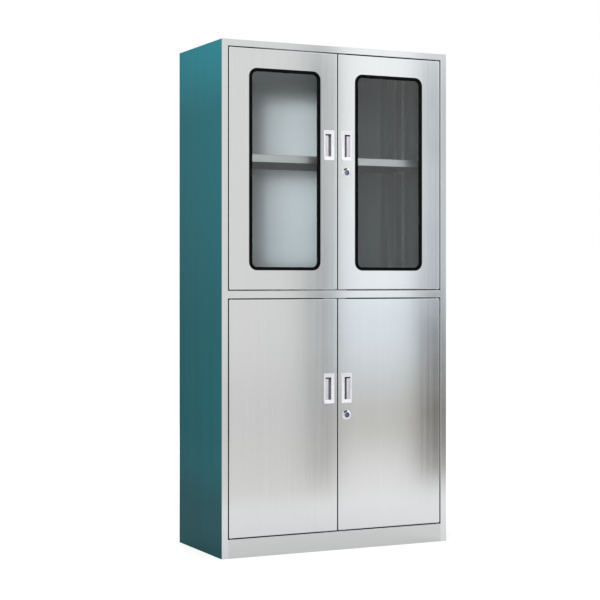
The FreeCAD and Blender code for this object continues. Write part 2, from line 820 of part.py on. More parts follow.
def build_liners(doorway):
    """The inner pans that close the doors, with a return round the window of a glazed door."""
    level = doorway.level
    outside = block(
        f"{level}_liner_outside",
        ("hinge_edge + sheet", "meeting_edge - sheet"),
        ("door_back - liner_fold", "door_back"),
        (f"{doorway.bottom} + sheet", f"{doorway.top} - sheet"),
        corner="door_corner",
    )
    inside = block(
        f"{level}_liner_inside",
        ("hinge_edge + 2*sheet", "meeting_edge - 2*sheet"),
        ("door_back - liner_fold - overrun", "door_back - sheet"),
        (f"{doorway.bottom} + 2*sheet", f"{doorway.top} - 2*sheet"),
        corner="door_corner - sheet",
    )
    blank = cut(f"{level}_liner_pan", outside, inside)
    if doorway.glazed:
        whole_depth = ("front + sheet", "door_back")
        opening_depth = ("front - overrun", "door_back + overrun")
        reveal = window(doorway, f"{level}_liner_return", "-liner_reveal - sheet", whole_depth)
        opening = window(doorway, f"{level}_liner_window", "-liner_reveal", opening_depth)
        blank = cut(f"{level}_liner_blank", joined(f"{level}_liner_shell", blank, reveal), opening)
    through_back = ("door_back - sheet - overrun", "door_back + overrun")
    slot_half = "knob_radius + bolt_clearance"
    slots = [
        plate(
            f"{level}_{end_name}_knob_slot",
            about("bolt_x", f"2*({slot_half})"),
            through_back,
            beyond(end, way, f"-knob_drop - ({slot_half})", f"-knob_drop + bolt_travel + {slot_half}"),
        )
        for end_name, end, way in doorway.ends
    ]
    access = rod(
        f"{level}_lock_access", "y", ("lock_offset", doorway.lock), "lock_access_radius", through_back
    )
    finished(f"{level}_left_door_liner", cut(f"{level}_left_door_liner", blank, *slots))
    right_blank = mirrored(f"{level}_right_liner_blank", blank)
    finished(f"{level}_right_door_liner", cut(f"{level}_right_door_liner", right_blank, access))


def build_glazing(doorway):
    """The rubber gasket, grooved for the skin and for the pane, and the pane itself."""
    level = doorway.level
    whole = window(
        doorway,
        f"{level}_gasket_whole",
        "0",
        ("front - gasket_proud", "front + gasket_depth"),
        rim="gasket_round",
    )
    far_through = ("front - gasket_proud - overrun", "front + gasket_depth + overrun")
    daylight = window(doorway, f"{level}_gasket_daylight", "gasket_face", far_through)
    skin_depth = ("front", "front + sheet")
    lap = window(doorway, f"{level}_gasket_lap", "-seat_clearance", skin_depth)
    web = window(doorway, f"{level}_gasket_web", "gasket_lap + seat_clearance", skin_depth)
    skin_groove = cut(f"{level}_skin_groove", lap, web)
    pane_depth = ("front", "front + glass_thickness")
    pane_edge = "gasket_face - glass_bite"
    pane_groove = window(doorway, f"{level}_pane_groove", f"{pane_edge} - seat_clearance", pane_depth)
    gasket = cut(f"{level}_left_gasket", whole, daylight, skin_groove, pane_groove)
    pane = window(doorway, f"{level}_left_glass", pane_edge, pane_depth)
    for name, piece in (("gasket", gasket), ("glass", pane)):
        finished(f"{level}_left_{name}", piece)
        finished(f"{level}_right_{name}", mirrored(f"{level}_right_{name}", piece))


def build_stiffeners(doorway):
    """A channel between the skin and the liner of each plain door."""
    level = doorway.level
    middle = "(hinge_edge + meeting_edge)/2"
    tall = (f"{doorway.bottom} + stiffener_end", f"{doorway.top} - stiffener_end")
    outside = plate(
        f"{level}_stiffener_outside",
        about(middle, "stiffener_width"),
        ("front + sheet", "door_back - sheet"),
        tall,
    )
    inside = plate(
        f"{level}_stiffener_inside",
        about(middle, "stiffener_width - 2*sheet"),
        ("front", "door_back - 2*sheet"),
        (f"{tall[0]} - overrun", f"{tall[1]} + overrun"),
    )
    left = cut(f"{level}_left_stiffener", outside, inside)
    finished(f"{level}_left_stiffener", left)
    finished(f"{level}_right_stiffener", mirrored(f"{level}_right_stiffener", left))


def build_handles(doorway):
    """Recessed handles: a bezel, a shallow rest for the fingertips and a deep slot with an undercut lip."""
    level = doorway.level
    middle = doorway.handle
    bezel_front = "front - bezel_thickness"
    bezel = block(
        f"{level}_bezel",
        about("-handle_offset", "handle_width"),
        (bezel_front, "front"),
        about(middle, "handle_height"),
        corner="bezel_corner",
        rim="bezel_round",
    )
    cup = plate(
        f"{level}_cup",
        ("grip_left - cup_wall", "pocket_right + cup_wall"),
        ("front", "front + cup_depth"),
        about(middle, "grip_height + 2*cup_wall"),
    )
    floor = "front + cup_depth - cup_wall"
    tall = about(middle, "grip_height")
    deep = (f"{bezel_front} - overrun", floor)
    rest = block(
        f"{level}_finger_rest",
        ("grip_left", "grip_right"),
        (f"{bezel_front} - overrun", f"{bezel_front} + grip_shelf"),
        tall,
        corner="bezel_corner",
    )
    slot = plate(f"{level}_finger_slot", ("grip_right - grip_slot", "grip_right"), deep, tall)
    head = plate(f"{level}_slot_head", ("grip_left", "grip_right"), deep, (f"{tall[1]} - grip_head", tall[1]))
    undercut = plate(
        f"{level}_undercut",
        ("grip_right - grip_slot", "pocket_right"),
        (f"{bezel_front} + grip_lip", floor),
        tall,
    )
    blank = joined(f"{level}_handle_blank", bezel, cup)
    left = cut(f"{level}_left_handle", blank, rest, slot, head, undercut)
    finished(f"{level}_left_handle", left)
    finished(f"{level}_right_handle", mirrored(f"{level}_right_handle", left))


def build_hinge_pins(doorway):
    """A pin with a collar and a plate at each end of each door."""
    level = doorway.level
    pins = []
    for end_name, end, way in doorway.ends:
        name = f"{level}_{end_name}_pin"
        axis = ("pivot_x", "pivot_y")
        inside = "-sheet - pin_plate_thickness"
        held = plate(
            f"{name}_plate",
            ("hinge_edge + door_corner", "hinge_edge + door_corner + pin_plate_length"),
            ("front + door_bend", "front + door_bend + pin_plate_width"),
            beyond(end, way, inside, "-sheet"),
        )
        whole = beyond(end, way, inside, "door_gap + pin_reach")
        shaft = rod(f"{name}_shaft", "z", axis, "pin_radius", whole)
        collar = rod(f"{name}_collar", "z", axis, "pin_collar_radius", beyond(end, way, "0", "pin_collar"))
        pins.append(joined(name, held, shaft, collar))
    left = group(f"{level}_left_hinge_pins", *pins)
    finished(f"{level}_left_hinge_pins", left)
    finished(f"{level}_right_hinge_pins", mirrored(f"{level}_right_hinge_pins", left))


def build_bolts(doorway):
    """A sliding bolt with a thumb knob at each end of the left door, and the guides that carry it."""
    level = doorway.level
    axis = ("bolt_x", "bolt_y")
    guides = []
    for end_name, end, way in doorway.ends:
        name = f"{level}_left_{end_name}_bolt"
        inner_end = "-bolt_recess - bolt_length"
        bar = rod(f"{name}_rod", "z", axis, "bolt_radius", beyond(end, way, inner_end, "-bolt_recess"))
        knob = rod(
            f"{name}_knob",
            "y",
            ("bolt_x", f"{end} - {way}*knob_drop"),
            "knob_radius",
            ("bolt_y", "door_back + knob_proud"),
        )
        finished(name, joined(name, bar, knob))
        bore = rod(
            f"{name}_bore",
            "z",
            axis,
            "bolt_radius + bolt_clearance",
            beyond(end, way, f"{inner_end} - overrun", "overrun"),
        )
        first = "-guide_drop - guide_length"
        second = f"{inner_end} + guide_end"
        for row, near in (("outer", first), ("inner", second)):
            blank = plate(
                f"{name}_{row}_guide_blank",
                about("bolt_x", "guide_width"),
                ("bolt_y - guide_front", "door_back - sheet"),
                beyond(end, way, near, f"{near} + guide_length"),
            )
            guides.append(cut(f"{name}_{row}_guide", blank, bore))
    finished(f"{level}_left_bolt_guides", group(f"{level}_left_bolt_guides", *guides))


def build_lock(doorway):
    """The cam lock of the right door, and the strike plate on the left door."""
    level = doorway.level
    axis = ("lock_offset", doorway.lock)
    centre = ("lock_offset", "front", doorway.lock)
    bore = "plug_radius + turning_clearance"
    tail = "door_depth + barrel_tail"
    barrel_outline = (
        (bore, "-ring_proud"),
        ("ring_face_radius", "-ring_proud"),
        ("ring_radius", "-ring_edge"),
        ("ring_radius", "0"),
        ("barrel_radius", "0"),
        ("barrel_radius", tail),
        (bore, tail),
    )
    finished(
        f"{level}_lock_barrel", turned(f"{level}_lock_barrel", "XY_Plane", centre, barrel_outline)
    )

    hexagon = doc.addObject("Part::Prism", f"{level}_nut_hexagon")
    bind(hexagon, {"Circumradius": "nut_radius"})
    set_along(hexagon, "y", axis, ("front + sheet", "front + sheet + nut_thickness"))
    thread = rod(
        f"{level}_nut_bore",
        "y",
        axis,
        "barrel_radius + turning_clearance",
        ("front", "front + sheet + nut_thickness + overrun"),
    )
    finished(f"{level}_lock_nut", cut(f"{level}_lock_nut", hexagon, thread))

    plug_face = "plug_recess - ring_proud"
    plug_outline = (
        ("0", plug_face),
        ("plug_radius", plug_face),
        ("plug_radius", "cam_front"),
        ("cam_boss_radius", "cam_front"),
        ("cam_boss_radius", "cam_front + cam_thickness"),
        ("0", "cam_front + cam_thickness"),
    )
    plug = turned(f"{level}_plug_blank", "XY_Plane", centre, plug_outline)
    keyway = plate(
        f"{level}_keyway",
        about("lock_offset", "keyway_width"),
        (f"front + {plug_face} - overrun", f"front + {plug_face} + keyway_depth"),
        about(doorway.lock, "keyway_height"),
    )
    finished(f"{level}_lock_plug", cut(f"{level}_lock_plug", plug, keyway))

    cam_back = "front + cam_front + cam_thickness"
    cam_blank = block(
        f"{level}_cam_blank",
        about("lock_offset", "cam_width"),
        ("front + cam_front", cam_back),
        (f"{doorway.lock} - cam_reach", f"{doorway.lock} + cam_width/2"),
        corner="cam_width/4",
    )
    eye = rod(
        f"{level}_cam_eye",
        "y",
        axis,
        "cam_boss_radius + turning_clearance",
        ("front + cam_front - overrun", f"{cam_back} + overrun"),
    )
    screw = rod(
        f"{level}_cam_screw", "y", axis, "cam_screw_radius", (cam_back, f"{cam_back} + cam_screw_height")
    )
    finished(
        f"{level}_lock_cam", group(f"{level}_lock_cam", cut(f"{level}_cam_plate", cam_blank, eye), screw)
    )

    strike = block(
        f"{level}_strike_plate",
        ("meeting_edge - strike_edge - strike_width", "meeting_edge - strike_edge"),
        ("door_back", "door_back + strike_thickness"),
        about(doorway.lock, "strike_height"),
        corner="door_corner",
    )
    finished(f"{level}_strike_plate", strike)


def build_doors(doorway):
    """Everything that hangs in one doorway."""
    build_skins(doorway)
    build_liners(doorway)
    if doorway.glazed:
        build_glazing(doorway)
    else:
        build_stiffeners(doorway)
    build_handles(doorway)
    build_hinge_pins(doorway)
    build_bolts(doorway)
    build_lock(doorway)


def write_nodes():
    """Check every object of the document, then write each finished sub-part to its own file."""
    doc.recompute()
    failed = [item.Label for item in doc.Objects if {"Invalid", "Error"} & set(item.State)]
    for item in nodes:
        if item.Shape.isNull() or not item.Shape.isValid() or not item.Shape.Solids:
            failed.append(item.Label)
    if failed:
        raise RuntimeError(f"not built: {failed}")
    os.makedirs("parts", exist_ok=True)
    for item in nodes:
        item.Shape.exportStep(f"parts/{item.Label}.step")
        print(f"{item.Label}: {len(item.Shape.Solids)} solids, {item.Shape.Volume:.0f} mm3")


build_panels()
build_posts()
build_rails()
build_rail_fittings()
build_shelves()
build_doors(Doorway("upper", "mid_rail_top", "top_rail_base", "upper_handle", True))
build_doors(Doorway("lower", "plinth_face", "mid_rail_base", "lower_handle", False))
write_nodes()
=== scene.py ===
"""Looks of a medicine cabinet: its finishes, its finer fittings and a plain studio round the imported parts."""

import functools
import logging
import math
from dataclasses import dataclass
from enum import Enum, IntEnum
from typing import ClassVar

import bmesh
import bpy
from mathutils import Matrix, Vector


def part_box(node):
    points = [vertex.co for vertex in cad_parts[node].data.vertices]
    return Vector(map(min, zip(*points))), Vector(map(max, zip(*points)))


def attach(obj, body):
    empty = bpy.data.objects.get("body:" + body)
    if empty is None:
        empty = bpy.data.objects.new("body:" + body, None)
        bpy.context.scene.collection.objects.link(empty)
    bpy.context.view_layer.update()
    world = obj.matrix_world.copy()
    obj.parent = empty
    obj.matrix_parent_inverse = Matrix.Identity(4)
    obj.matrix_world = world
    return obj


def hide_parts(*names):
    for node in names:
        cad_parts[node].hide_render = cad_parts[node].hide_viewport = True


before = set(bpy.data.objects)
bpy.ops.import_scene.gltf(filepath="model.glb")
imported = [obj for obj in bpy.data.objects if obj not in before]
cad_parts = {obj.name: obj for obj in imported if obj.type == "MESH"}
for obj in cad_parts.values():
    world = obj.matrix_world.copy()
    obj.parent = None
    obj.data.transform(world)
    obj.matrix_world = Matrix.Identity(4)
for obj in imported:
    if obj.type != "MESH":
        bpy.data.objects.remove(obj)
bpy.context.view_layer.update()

LOG = logging.getLogger("medicine_cabinet")
QUARTER_TURN = math.radians(90)
SHARP_ANGLE = math.radians(40)
LOOP_CREEP = 0.0001
FRONT_FACING = -0.5
WHITE = (1.0, 1.0, 1.0, 1.0)

Colour = tuple[float, float, float]
Span = tuple[float, float]
Stop = tuple[float, Colour]
Loop = list[bmesh.types.BMEdge]
Socket = bpy.types.NodeSocket
Inputs = bpy.types.NodeInputs
Outputs = bpy.types.NodeOutputs
Entry = Socket | float | tuple


class Grain(Enum):
    """Which way a brushed surface is drawn, as the stretch of its grain along X, Y and Z."""

    UPRIGHT = (1.0, 1.0, 0.012)
    LEVEL = (0.012, 1.0, 1.0)


class Hand(Enum):
    """The two hands of the doors, as the side of the cabinet on which each lies."""

    LEFT = -1
    RIGHT = 1

    @property
    def word(self) -> str:
        """The word that the parts' names use."""
        return self.name.lower()


class Level(Enum):
    """The two pairs of doors."""

    UPPER = "upper"
    LOWER = "lower"


class End(Enum):
    """The two ends of a door that bolts hold."""

    TOP = "top"
    BOTTOM = "bottom"


class Coat(IntEnum):
    """Which of a piece's finishes a face takes."""

    MAIN = 0
    SECOND = 1
    THIRD = 2


class Stack(Enum):
    """The axis along which the loops of a piece are stacked."""

    Y = "y"
    Z = "z"

    def point(self, across: float, along: float, place: float) -> Vector:
        """Put a point of a loop into the cabinet's frame.

        Args:
            across: Place along X.
            along: Place along the loop's other axis.
            place: Place along the stack.

        Returns:
            The point.
        """
        if self is Stack.Y:
            return Vector((across, place, along))
        return Vector((across, along, place))

    @property
    def turn(self) -> Matrix:
        """The turn that lays a circle in the loops' plane."""
        return Matrix.Rotation(QUARTER_TURN, 4, "X") if self is Stack.Y else Matrix.Identity(4)


@dataclass(frozen=True)
class Rim:
    """A rectangle with round corners, in X and in the loop's other axis."""

    low: Span
    high: Span
    corner: float

    def drawn_in(self, inset: float) -> "Rim":
        """Draw the rim in.

        Args:
            inset: How far, all round.

        Returns:
            The smaller rim.
        """
        return Rim(
            (self.low[0] + inset, self.low[1] + inset),
            (self.high[0] - inset, self.high[1] - inset),
            max(self.corner - inset, 0.0),
        )


@dataclass(frozen=True)
class Disc:
    """A circle, in X and in the loop's other axis."""

    centre: Span
    radius: float


class Wiring:
    """Adds nodes to one shader tree and links them."""

    def __init__(self, tree: bpy.types.NodeTree) -> None:
        """Take over a material's, a world's or a group's tree."""
        self.tree = tree

    def add(self, kind: str, **settings: object) -> bpy.types.Node:
        """Add one node.

        Args:
            kind: The node's type.
            **settings: Properties to set on it.

        Returns:
            The node.
        """
        node = self.tree.nodes.new(kind)
        for name, setting in settings.items():
            setattr(node, name, setting)
        return node

    def feed(self, socket: Socket, value: Entry) -> None:
        """Link another socket to this one, or set its value.

        Args:
            socket: The socket that takes the value.
            value: A socket, a number or a colour.
        """
        if isinstance(value, Socket):
            self.tree.links.new(value, socket)
        elif isinstance(value, tuple) and len(value) == 3 and socket.type == "RGBA":
            socket.default_value = (*value, 1.0)
        else:
            socket.default_value = value

    def math(self, operation: str, first: Entry, second: Entry = 0.0, clamp: bool = False) -> Socket:
        """Work out a value from two others.

        Args:
            operation: The name of the operation.
            first: A socket or a number.
            second: A socket or a number.
            clamp: Whether to keep the result between 0 and 1.

        Returns:
            The result's socket.
        """
        node = self.add("ShaderNodeMath", operation=operation, use_clamp=clamp)
        self.feed(node.inputs[0], first)
        self.feed(node.inputs[1], second)
        return node.outputs[0]

    def times(self, first: Entry, second: Entry) -> Socket:
        """Multiply two values."""
        return self.math("MULTIPLY", first, second)

    def swing(self, value: Entry, depth: Entry) -> Socket:
        """Turn a value from 0 to 1 into a swing about 0, as wide as the depth."""
        return self.times(self.math("SUBTRACT", value, 0.5), depth)

    def lift(self, value: Entry, depth: Entry, base: Entry) -> Socket:
        """Raise a base by a value times a depth."""
        return self.math("ADD", self.times(value, depth), base)

    def tinted(self, colour: Entry, factor: Entry) -> Socket:
        """Multiply a colour by a factor.

        Args:
            colour: A socket or a colour.
            factor: A socket or a number.

        Returns:
            The result's socket.
        """
        node = self.add("ShaderNodeVectorMath", operation="SCALE")
        self.feed(node.inputs[0], colour)
        self.feed(node.inputs["Scale"], factor)
        return node.outputs[0]

    def mix(self, factor: Entry, first: Entry, second: Entry) -> Socket:
        """Mix two colours.

        Args:
            factor: A socket or a number.
            first: A socket or a colour.
            second: A socket or a colour.

        Returns:
            The mixed colour's socket.
        """
        node = self.add("ShaderNodeMix", data_type="RGBA")
        self.feed(node.inputs[0], factor)
        self.feed(node.inputs[6], first)
        self.feed(node.inputs[7], second)
        return node.outputs[2]

    def smooth(self, value: Entry, low: float, high: float, start: float = 0.0, end: float = 1.0) -> Socket:
        """Turn a value into a soft step.

        Args:
            value: The socket to read.
            low: Where the step starts.
            high: Where it ends.
            start: The result before the step.
            end: The result after it.

        Returns:
            The step's socket.
        """
        node = self.add("ShaderNodeMapRange", interpolation_type="SMOOTHSTEP")
        for index, entry in enumerate((value, low, high, start, end)):
            self.feed(node.inputs[index], entry)
        return node.outputs[0]

    def ramp(self, value: Entry, stops: tuple[Stop, ...]) -> Socket:
        """Turn a value into a colour.

        Args:
            value: The socket to read.
            stops: Places from 0 to 1, each with its colour.

        Returns:
            The colour's socket.
        """
        node = self.add("ShaderNodeValToRGB")
        node.color_ramp.interpolation = "EASE"
        while len(node.color_ramp.elements) < len(stops):
            node.color_ramp.elements.new(1.0)
        for element, (place, colour) in zip(node.color_ramp.elements, stops):
            element.position = place
            element.color = (*colour, 1.0)
        self.feed(node.inputs[0], value)
        return node.outputs[0]

    def noise(self, place: Entry, scale: Entry, detail: float) -> Socket:
        """Make a noise between 0 and 1.

        Args:
            place: The coordinates' socket.
            scale: How fine it is.
            detail: How many finer layers it has.

        Returns:
            The noise's socket.
        """
        node = self.add("ShaderNodeTexNoise")
        self.feed(node.inputs["Vector"], place)
        self.feed(node.inputs["Scale"], scale)
        self.feed(node.inputs["Detail"], detail)
        return node.outputs["Fac"]

    def axes(self, place: Entry) -> tuple[Socket, ...]:
        """Split coordinates.

        Args:
            place: The coordinates' socket.

        Returns:
            The sockets of X, Y and Z.
        """
        node = self.add("ShaderNodeSeparateXYZ")
        self.feed(node.inputs[0], place)
        return tuple(node.outputs)

    def group(self, tree: bpy.types.NodeTree, **values: Entry) -> bpy.types.Node:
        """Place a shared effect.

        Args:
            tree: The effect's node group.
            **values: What goes into its inputs, by name.

        Returns:
            The group's node.
        """
        node = self.add("ShaderNodeGroup", node_tree=tree)
        for name, value in values.items():
            self.feed(node.inputs[name], value)
        return node


@dataclass(frozen=True)
class BrushedGrain:
    """Fine and broad streaks along one axis: a tone about 1, a streak and a height from 0 to 1."""

    name: str = "brushed_grain"
    fine_scale: float = 900.0
    fine_detail: float = 2.0
    broad_scale: float = 70.0
    broad_detail: float = 3.0

    def make(self) -> bpy.types.NodeTree:
        """Build the effect.

        Returns:
            The node group.
        """
        takes = {"Place": "Vector", "Lie": "Vector", "Fine": "Float", "Broad": "Float"}
        gives = {"Tone": "Float", "Streak": "Float", "Height": "Float"}
        wiring, source, target = new_group(self.name, takes, gives)
        stretch = wiring.add("ShaderNodeVectorMath", operation="MULTIPLY")
        wiring.feed(stretch.inputs[0], source["Place"])
        wiring.feed(stretch.inputs[1], source["Lie"])
        fine = wiring.noise(stretch.outputs[0], self.fine_scale, self.fine_detail)
        broad = wiring.noise(stretch.outputs[0], self.broad_scale, self.broad_detail)
        tone = 1.0
        for noise, depth in ((fine, source["Fine"]), (broad, source["Broad"])):
            tone = wiring.math("ADD", wiring.swing(noise, depth), tone)
        wiring.feed(target["Tone"], tone)
        wiring.feed(target["Streak"], broad)
        wiring.feed(target["Height"], fine)
        return wiring.tree


@dataclass(frozen=True)
class PaintedBendLight:
    """Where a surface turns away from front and back: a mask for the painted highlight on the folds and one for
    the painted shade on the faces across.
    """

    name: str = "painted_bend_light"
    fold: Span = (0.80, 0.985)
    across: Span = (0.42, 0.86)

    def make(self) -> bpy.types.NodeTree:
        """Build the effect.

        Returns:
            The node group.
        """
        gives = {"Fold": "Float", "Across": "Float"}
        wiring, source, target = new_group(self.name, {"Facing": "Vector"}, gives)
        _, inward, _ = wiring.axes(source["Facing"])
        flat = wiring.math("ABSOLUTE", inward)
        for label, span in (("Fold", self.fold), ("Across", self.across)):
            wiring.feed(target[label], wiring.smooth(flat, *span, start=1.0, end=0.0))
        return wiring.tree


@dataclass(frozen=True)
class SoftClouds:
    """Broad, faint unevenness, as on any wiped surface: a cloud from 0 to 1."""

    name: str = "soft_clouds"
    detail: float = 4.0

    def make(self) -> bpy.types.NodeTree:
        """Build the effect.

        Returns:
            The node group.
        """
        takes = {"Place": "Vector", "Scale": "Float"}
        wiring, source, target = new_group(self.name, takes, {"Cloud": "Float"})
        wiring.feed(target["Cloud"], wiring.noise(source["Place"], source["Scale"], self.detail))
        return wiring.tree


class Effect(Enum):
    """The effects that several finishes share."""

    BRUSHED = BrushedGrain()
    BENDS = PaintedBendLight()
    CLOUDS = SoftClouds()

    @functools.cached_property
    def tree(self) -> bpy.types.NodeTree:
        """The effect's node group, built the first time that it is asked for."""
        return self.value.make()


def new_group(name: str, takes: dict[str, str], gives: dict[str, str]) -> tuple[Wiring, Outputs, Inputs]:
    """Start a node group.

    Args:
        name: The group's name.
        takes: Its inputs, each with its socket type.
        gives: Its outputs, each with its socket type.

    Returns:
        The group's wiring, the input node's sockets and the output node's sockets.
    """
    tree = bpy.data.node_groups.new(name, "ShaderNodeTree")
    for side, sockets in (("INPUT", takes), ("OUTPUT", gives)):
        for label, kind in sockets.items():
            tree.interface.new_socket(label, in_out=side, socket_type=f"NodeSocket{kind}")
    wiring = Wiring(tree)
    source = wiring.add("NodeGroupInput")
    target = wiring.add("NodeGroupOutput")
    return wiring, source.outputs, target.inputs


class Paintwork:
    """One new material: its wiring, its shader and the coordinates that it reads."""

    def __init__(self, name: str) -> None:
        """Start a material.

        Args:
            name: The material's name.
        """
        self.material = bpy.data.materials.new(name)
        self.material.use_nodes = True
        self.wiring = Wiring(self.material.node_tree)
        self.shader = self.material.node_tree.nodes["Principled BSDF"]
        source = self.wiring.add("ShaderNodeTexCoord")
        self.place = source.outputs["Object"]
        self.facing = source.outputs["Normal"]

    def set(self, **values: Entry) -> None:
        """Set or link the shader's sockets, named with underscores for spaces."""
        for name, value in values.items():
            self.wiring.feed(self.shader.inputs[name.replace("_", " ")], value)

    def grain(self, lie: Grain, fine: float, broad: float) -> Outputs:
        """Place the brushed grain.

        Args:
            lie: Which way it is drawn.
            fine: How deep its fine streaks are.
            broad: How deep its broad streaks are.

        Returns:
            The effect's outputs.
        """
        tree = Effect.BRUSHED.tree
        return self.wiring.group(tree, Place=self.place, Lie=lie.value, Fine=fine, Broad=broad).outputs

    def cloud(self, scale: float) -> Socket:
        """Place the soft clouds, at a scale."""
        return self.wiring.group(Effect.CLOUDS.tree, Place=self.place, Scale=scale).outputs["Cloud"]

    def bump(self, height: Socket, strength: float, distance: float = 0.0002) -> None:
        """Raise the surface by a height.

        Args:
            height: The height's socket.
            strength: How much of it shows.
            distance: How far a height of 1 stands up, in metres.
        """
        node = self.wiring.add("ShaderNodeBump")
        self.wiring.feed(node.inputs["Strength"], strength)
        self.wiring.feed(node.inputs["Distance"], distance)
        self.wiring.feed(node.inputs["Height"], height)
        self.set(Normal=node.outputs["Normal"])


@dataclass(frozen=True)
class BrushedSteel:
    """Stainless sheet, brushed one way, with a painted highlight on its folds and painted shade on its faces
    across.
    """

    name: str
    tone: Colour
    # Painted highlight on the folds.
    polish: Colour
    # Painted shade on the faces across, such as those in the door gaps.
    edge: Colour
    grain: Grain
    roughness: float
    fine: float = 0.10
    broad: float = 0.07
    swing: float = 0.07
    relief: float = 0.06
    veil: float = 0.08
    veil_scale: float = 5.0

    def make(self) -> bpy.types.Material:
        """Build the material.

        Returns:
            The material.
        """
        paint = Paintwork(self.name)
        wiring = paint.wiring
        grain = paint.grain(self.grain, self.fine, self.broad)
        # Painted highlight on the folds and painted shade on the faces across, chosen by how far the surface
        # turns from the front.
        bends = wiring.group(Effect.BENDS.tree, Facing=paint.facing).outputs
        fold = wiring.mix(bends["Fold"], self.tone, self.polish)
        face = wiring.mix(bends["Across"], fold, self.edge)
        streaks = wiring.swing(grain["Streak"], self.swing)
        veil = wiring.swing(paint.cloud(self.veil_scale), self.veil)
        rough = wiring.math("ADD", wiring.math("ADD", streaks, veil), self.roughness, clamp=True)
        paint.set(Base_Color=wiring.tinted(face, grain["Tone"]), Roughness=rough, Metallic=1.0)
        paint.bump(grain["Height"], self.relief)
        return paint.material


@dataclass(frozen=True)
class TealSide:
    """Side sheet: teal lacquer on brushed steel outside, with painted shade towards the foot and painted light
    at the head and towards the front; bare dull steel inside, darkened with painted shade.
    """

    name: str = "teal_side"
    foot: Colour = (0.023, 0.104, 0.121)
    low: Colour = (0.021, 0.144, 0.172)
    waist: Colour = (0.022, 0.166, 0.196)
    middle: Colour = (0.021, 0.146, 0.175)
    upper: Colour = (0.022, 0.158, 0.190)
    head: Colour = (0.027, 0.240, 0.290)
    foot_top: float = 0.08
    low_share: float = 0.20
    waist_share: float = 0.33
    middle_share: float = 0.52
    upper_share: float = 0.84
    front_painted_light: float = 0.45
    # Painted shade: the inside is darkened as the shade within the cabinet.
    inside: Colour = (0.15, 0.155, 0.16)
    inside_roughness: float = 0.50
    roughness: float = 0.26
    fine: float = 0.25
    broad: float = 0.30
    swing: float = 0.10
    relief: float = 0.05
    edge_tint: Colour = (0.58, 0.62, 0.62)
    outer_face: float = 0.4496
    height: float = 1.8

    def make(self) -> bpy.types.Material:
        """Build the material.

        Returns:
            The material.
        """
        paint = Paintwork(self.name)
        wiring = paint.wiring
        across, inward, up = wiring.axes(paint.place)
        # Painted shade and light by height: darkest at the foot, brightest at the head.
        stops = (
            (0.0, self.foot),
            (self.foot_top, self.foot),
            (self.low_share, self.low),
            (self.waist_share, self.waist),
            (self.middle_share, self.middle),
            (self.upper_share, self.upper),
            (1.0, self.head),
        )
        teal_with_painted_light = wiring.ramp(wiring.math("DIVIDE", up, self.height), stops)
        grain = paint.grain(Grain.UPRIGHT, self.fine, self.broad)
        outside = wiring.math("GREATER_THAN", wiring.math("ABSOLUTE", across), self.outer_face)
        # Painted light: lighter towards the front, darker towards the back.
        front_light = wiring.math("SUBTRACT", 1.0, wiring.times(inward, self.front_painted_light))
        grained = wiring.tinted(teal_with_painted_light, wiring.times(grain["Tone"], front_light))
        colour = wiring.mix(outside, self.inside, grained)
        dull = wiring.smooth(outside, 0.0, 1.0, start=self.inside_roughness, end=self.roughness)
        rough = wiring.lift(wiring.times(grain["Streak"], outside), self.swing, dull)
        paint.set(Base_Color=colour, Roughness=rough, Metallic=1.0, Specular_Tint=self.edge_tint)
        paint.bump(wiring.times(grain["Height"], outside), self.relief)
        return paint.material


@dataclass(frozen=True)
class Rubber:
    """Black moulded rubber."""

    name: str
    tone: Colour = (0.002, 0.002, 0.002)
    bloom: Colour = (0.005, 0.005, 0.006)
    patch_scale: float = 60.0
    patches: Span = (0.45, 0.75)
    roughness: float = 0.42
    swing: float = 0.2
    gloss: float = 0.04
    specks: float = 2500.0
    speck_detail: float = 2.0
    relief: float = 0.15

    def make(self) -> bpy.types.Material:
        """Build the material.

        Returns:
            The material.
        """
        paint = Paintwork(self.name)
        wiring = paint.wiring
        cloud = paint.cloud(self.patch_scale)
        colour = wiring.mix(wiring.smooth(cloud, *self.patches), self.tone, self.bloom)
        rough = wiring.lift(cloud, self.swing, self.roughness)
        paint.set(Base_Color=colour, Roughness=rough, Specular_IOR_Level=self.gloss)
        paint.bump(wiring.noise(paint.place, self.specks, self.speck_detail), self.relief)
        return paint.material


@dataclass(frozen=True)
class ClearGlass:
    """Polished float glass with the faintest green."""

    name: str = "window_glass"
    tint: Colour = (0.955, 0.985, 0.978)
    smear_scale: float = 9.0
    smears: Span = (0.55, 0.85)
    smear_roughness: float = 0.03
    index: float = 1.45

    def make(self) -> bpy.types.Material:
        """Build the material.

        Returns:
            The material.
        """
        paint = Paintwork(self.name)
        wiring = paint.wiring
        smears = wiring.smooth(paint.cloud(self.smear_scale), *self.smears)
        rough = wiring.times(smears, self.smear_roughness)
        paint.set(Base_Color=self.tint, Roughness=rough, IOR=self.index, Transmission_Weight=1.0)
        return paint.material


@dataclass(frozen=True)
class SatinMoulding:
    """Moulded or cast pieces with a fine, even sheen: handles, cups and bushes."""

    name: str
    tone: Colour
    shade: Colour
    roughness: float
    specks: float = 1400.0
    speck_detail: float = 3.0
    patch_scale: float = 45.0
    patches: Span = (0.35, 0.8)
    swing: float = 0.12
    sheen: float = 0.15
    relief: float = 0.08

    def make(self) -> bpy.types.Material:
        """Build the material.

        Returns:
            The material.
        """
        paint = Paintwork(self.name)
        wiring = paint.wiring
        patches = wiring.smooth(paint.cloud(self.patch_scale), *self.patches)
        specks = wiring.noise(paint.place, self.specks, self.speck_detail)
        rough = wiring.lift(specks, self.swing, self.roughness)
        colour = wiring.mix(patches, self.tone, self.shade)
        paint.set(Base_Color=colour, Roughness=rough, Coat_Weight=self.sheen)
        paint.bump(specks, self.relief)
        return paint.material


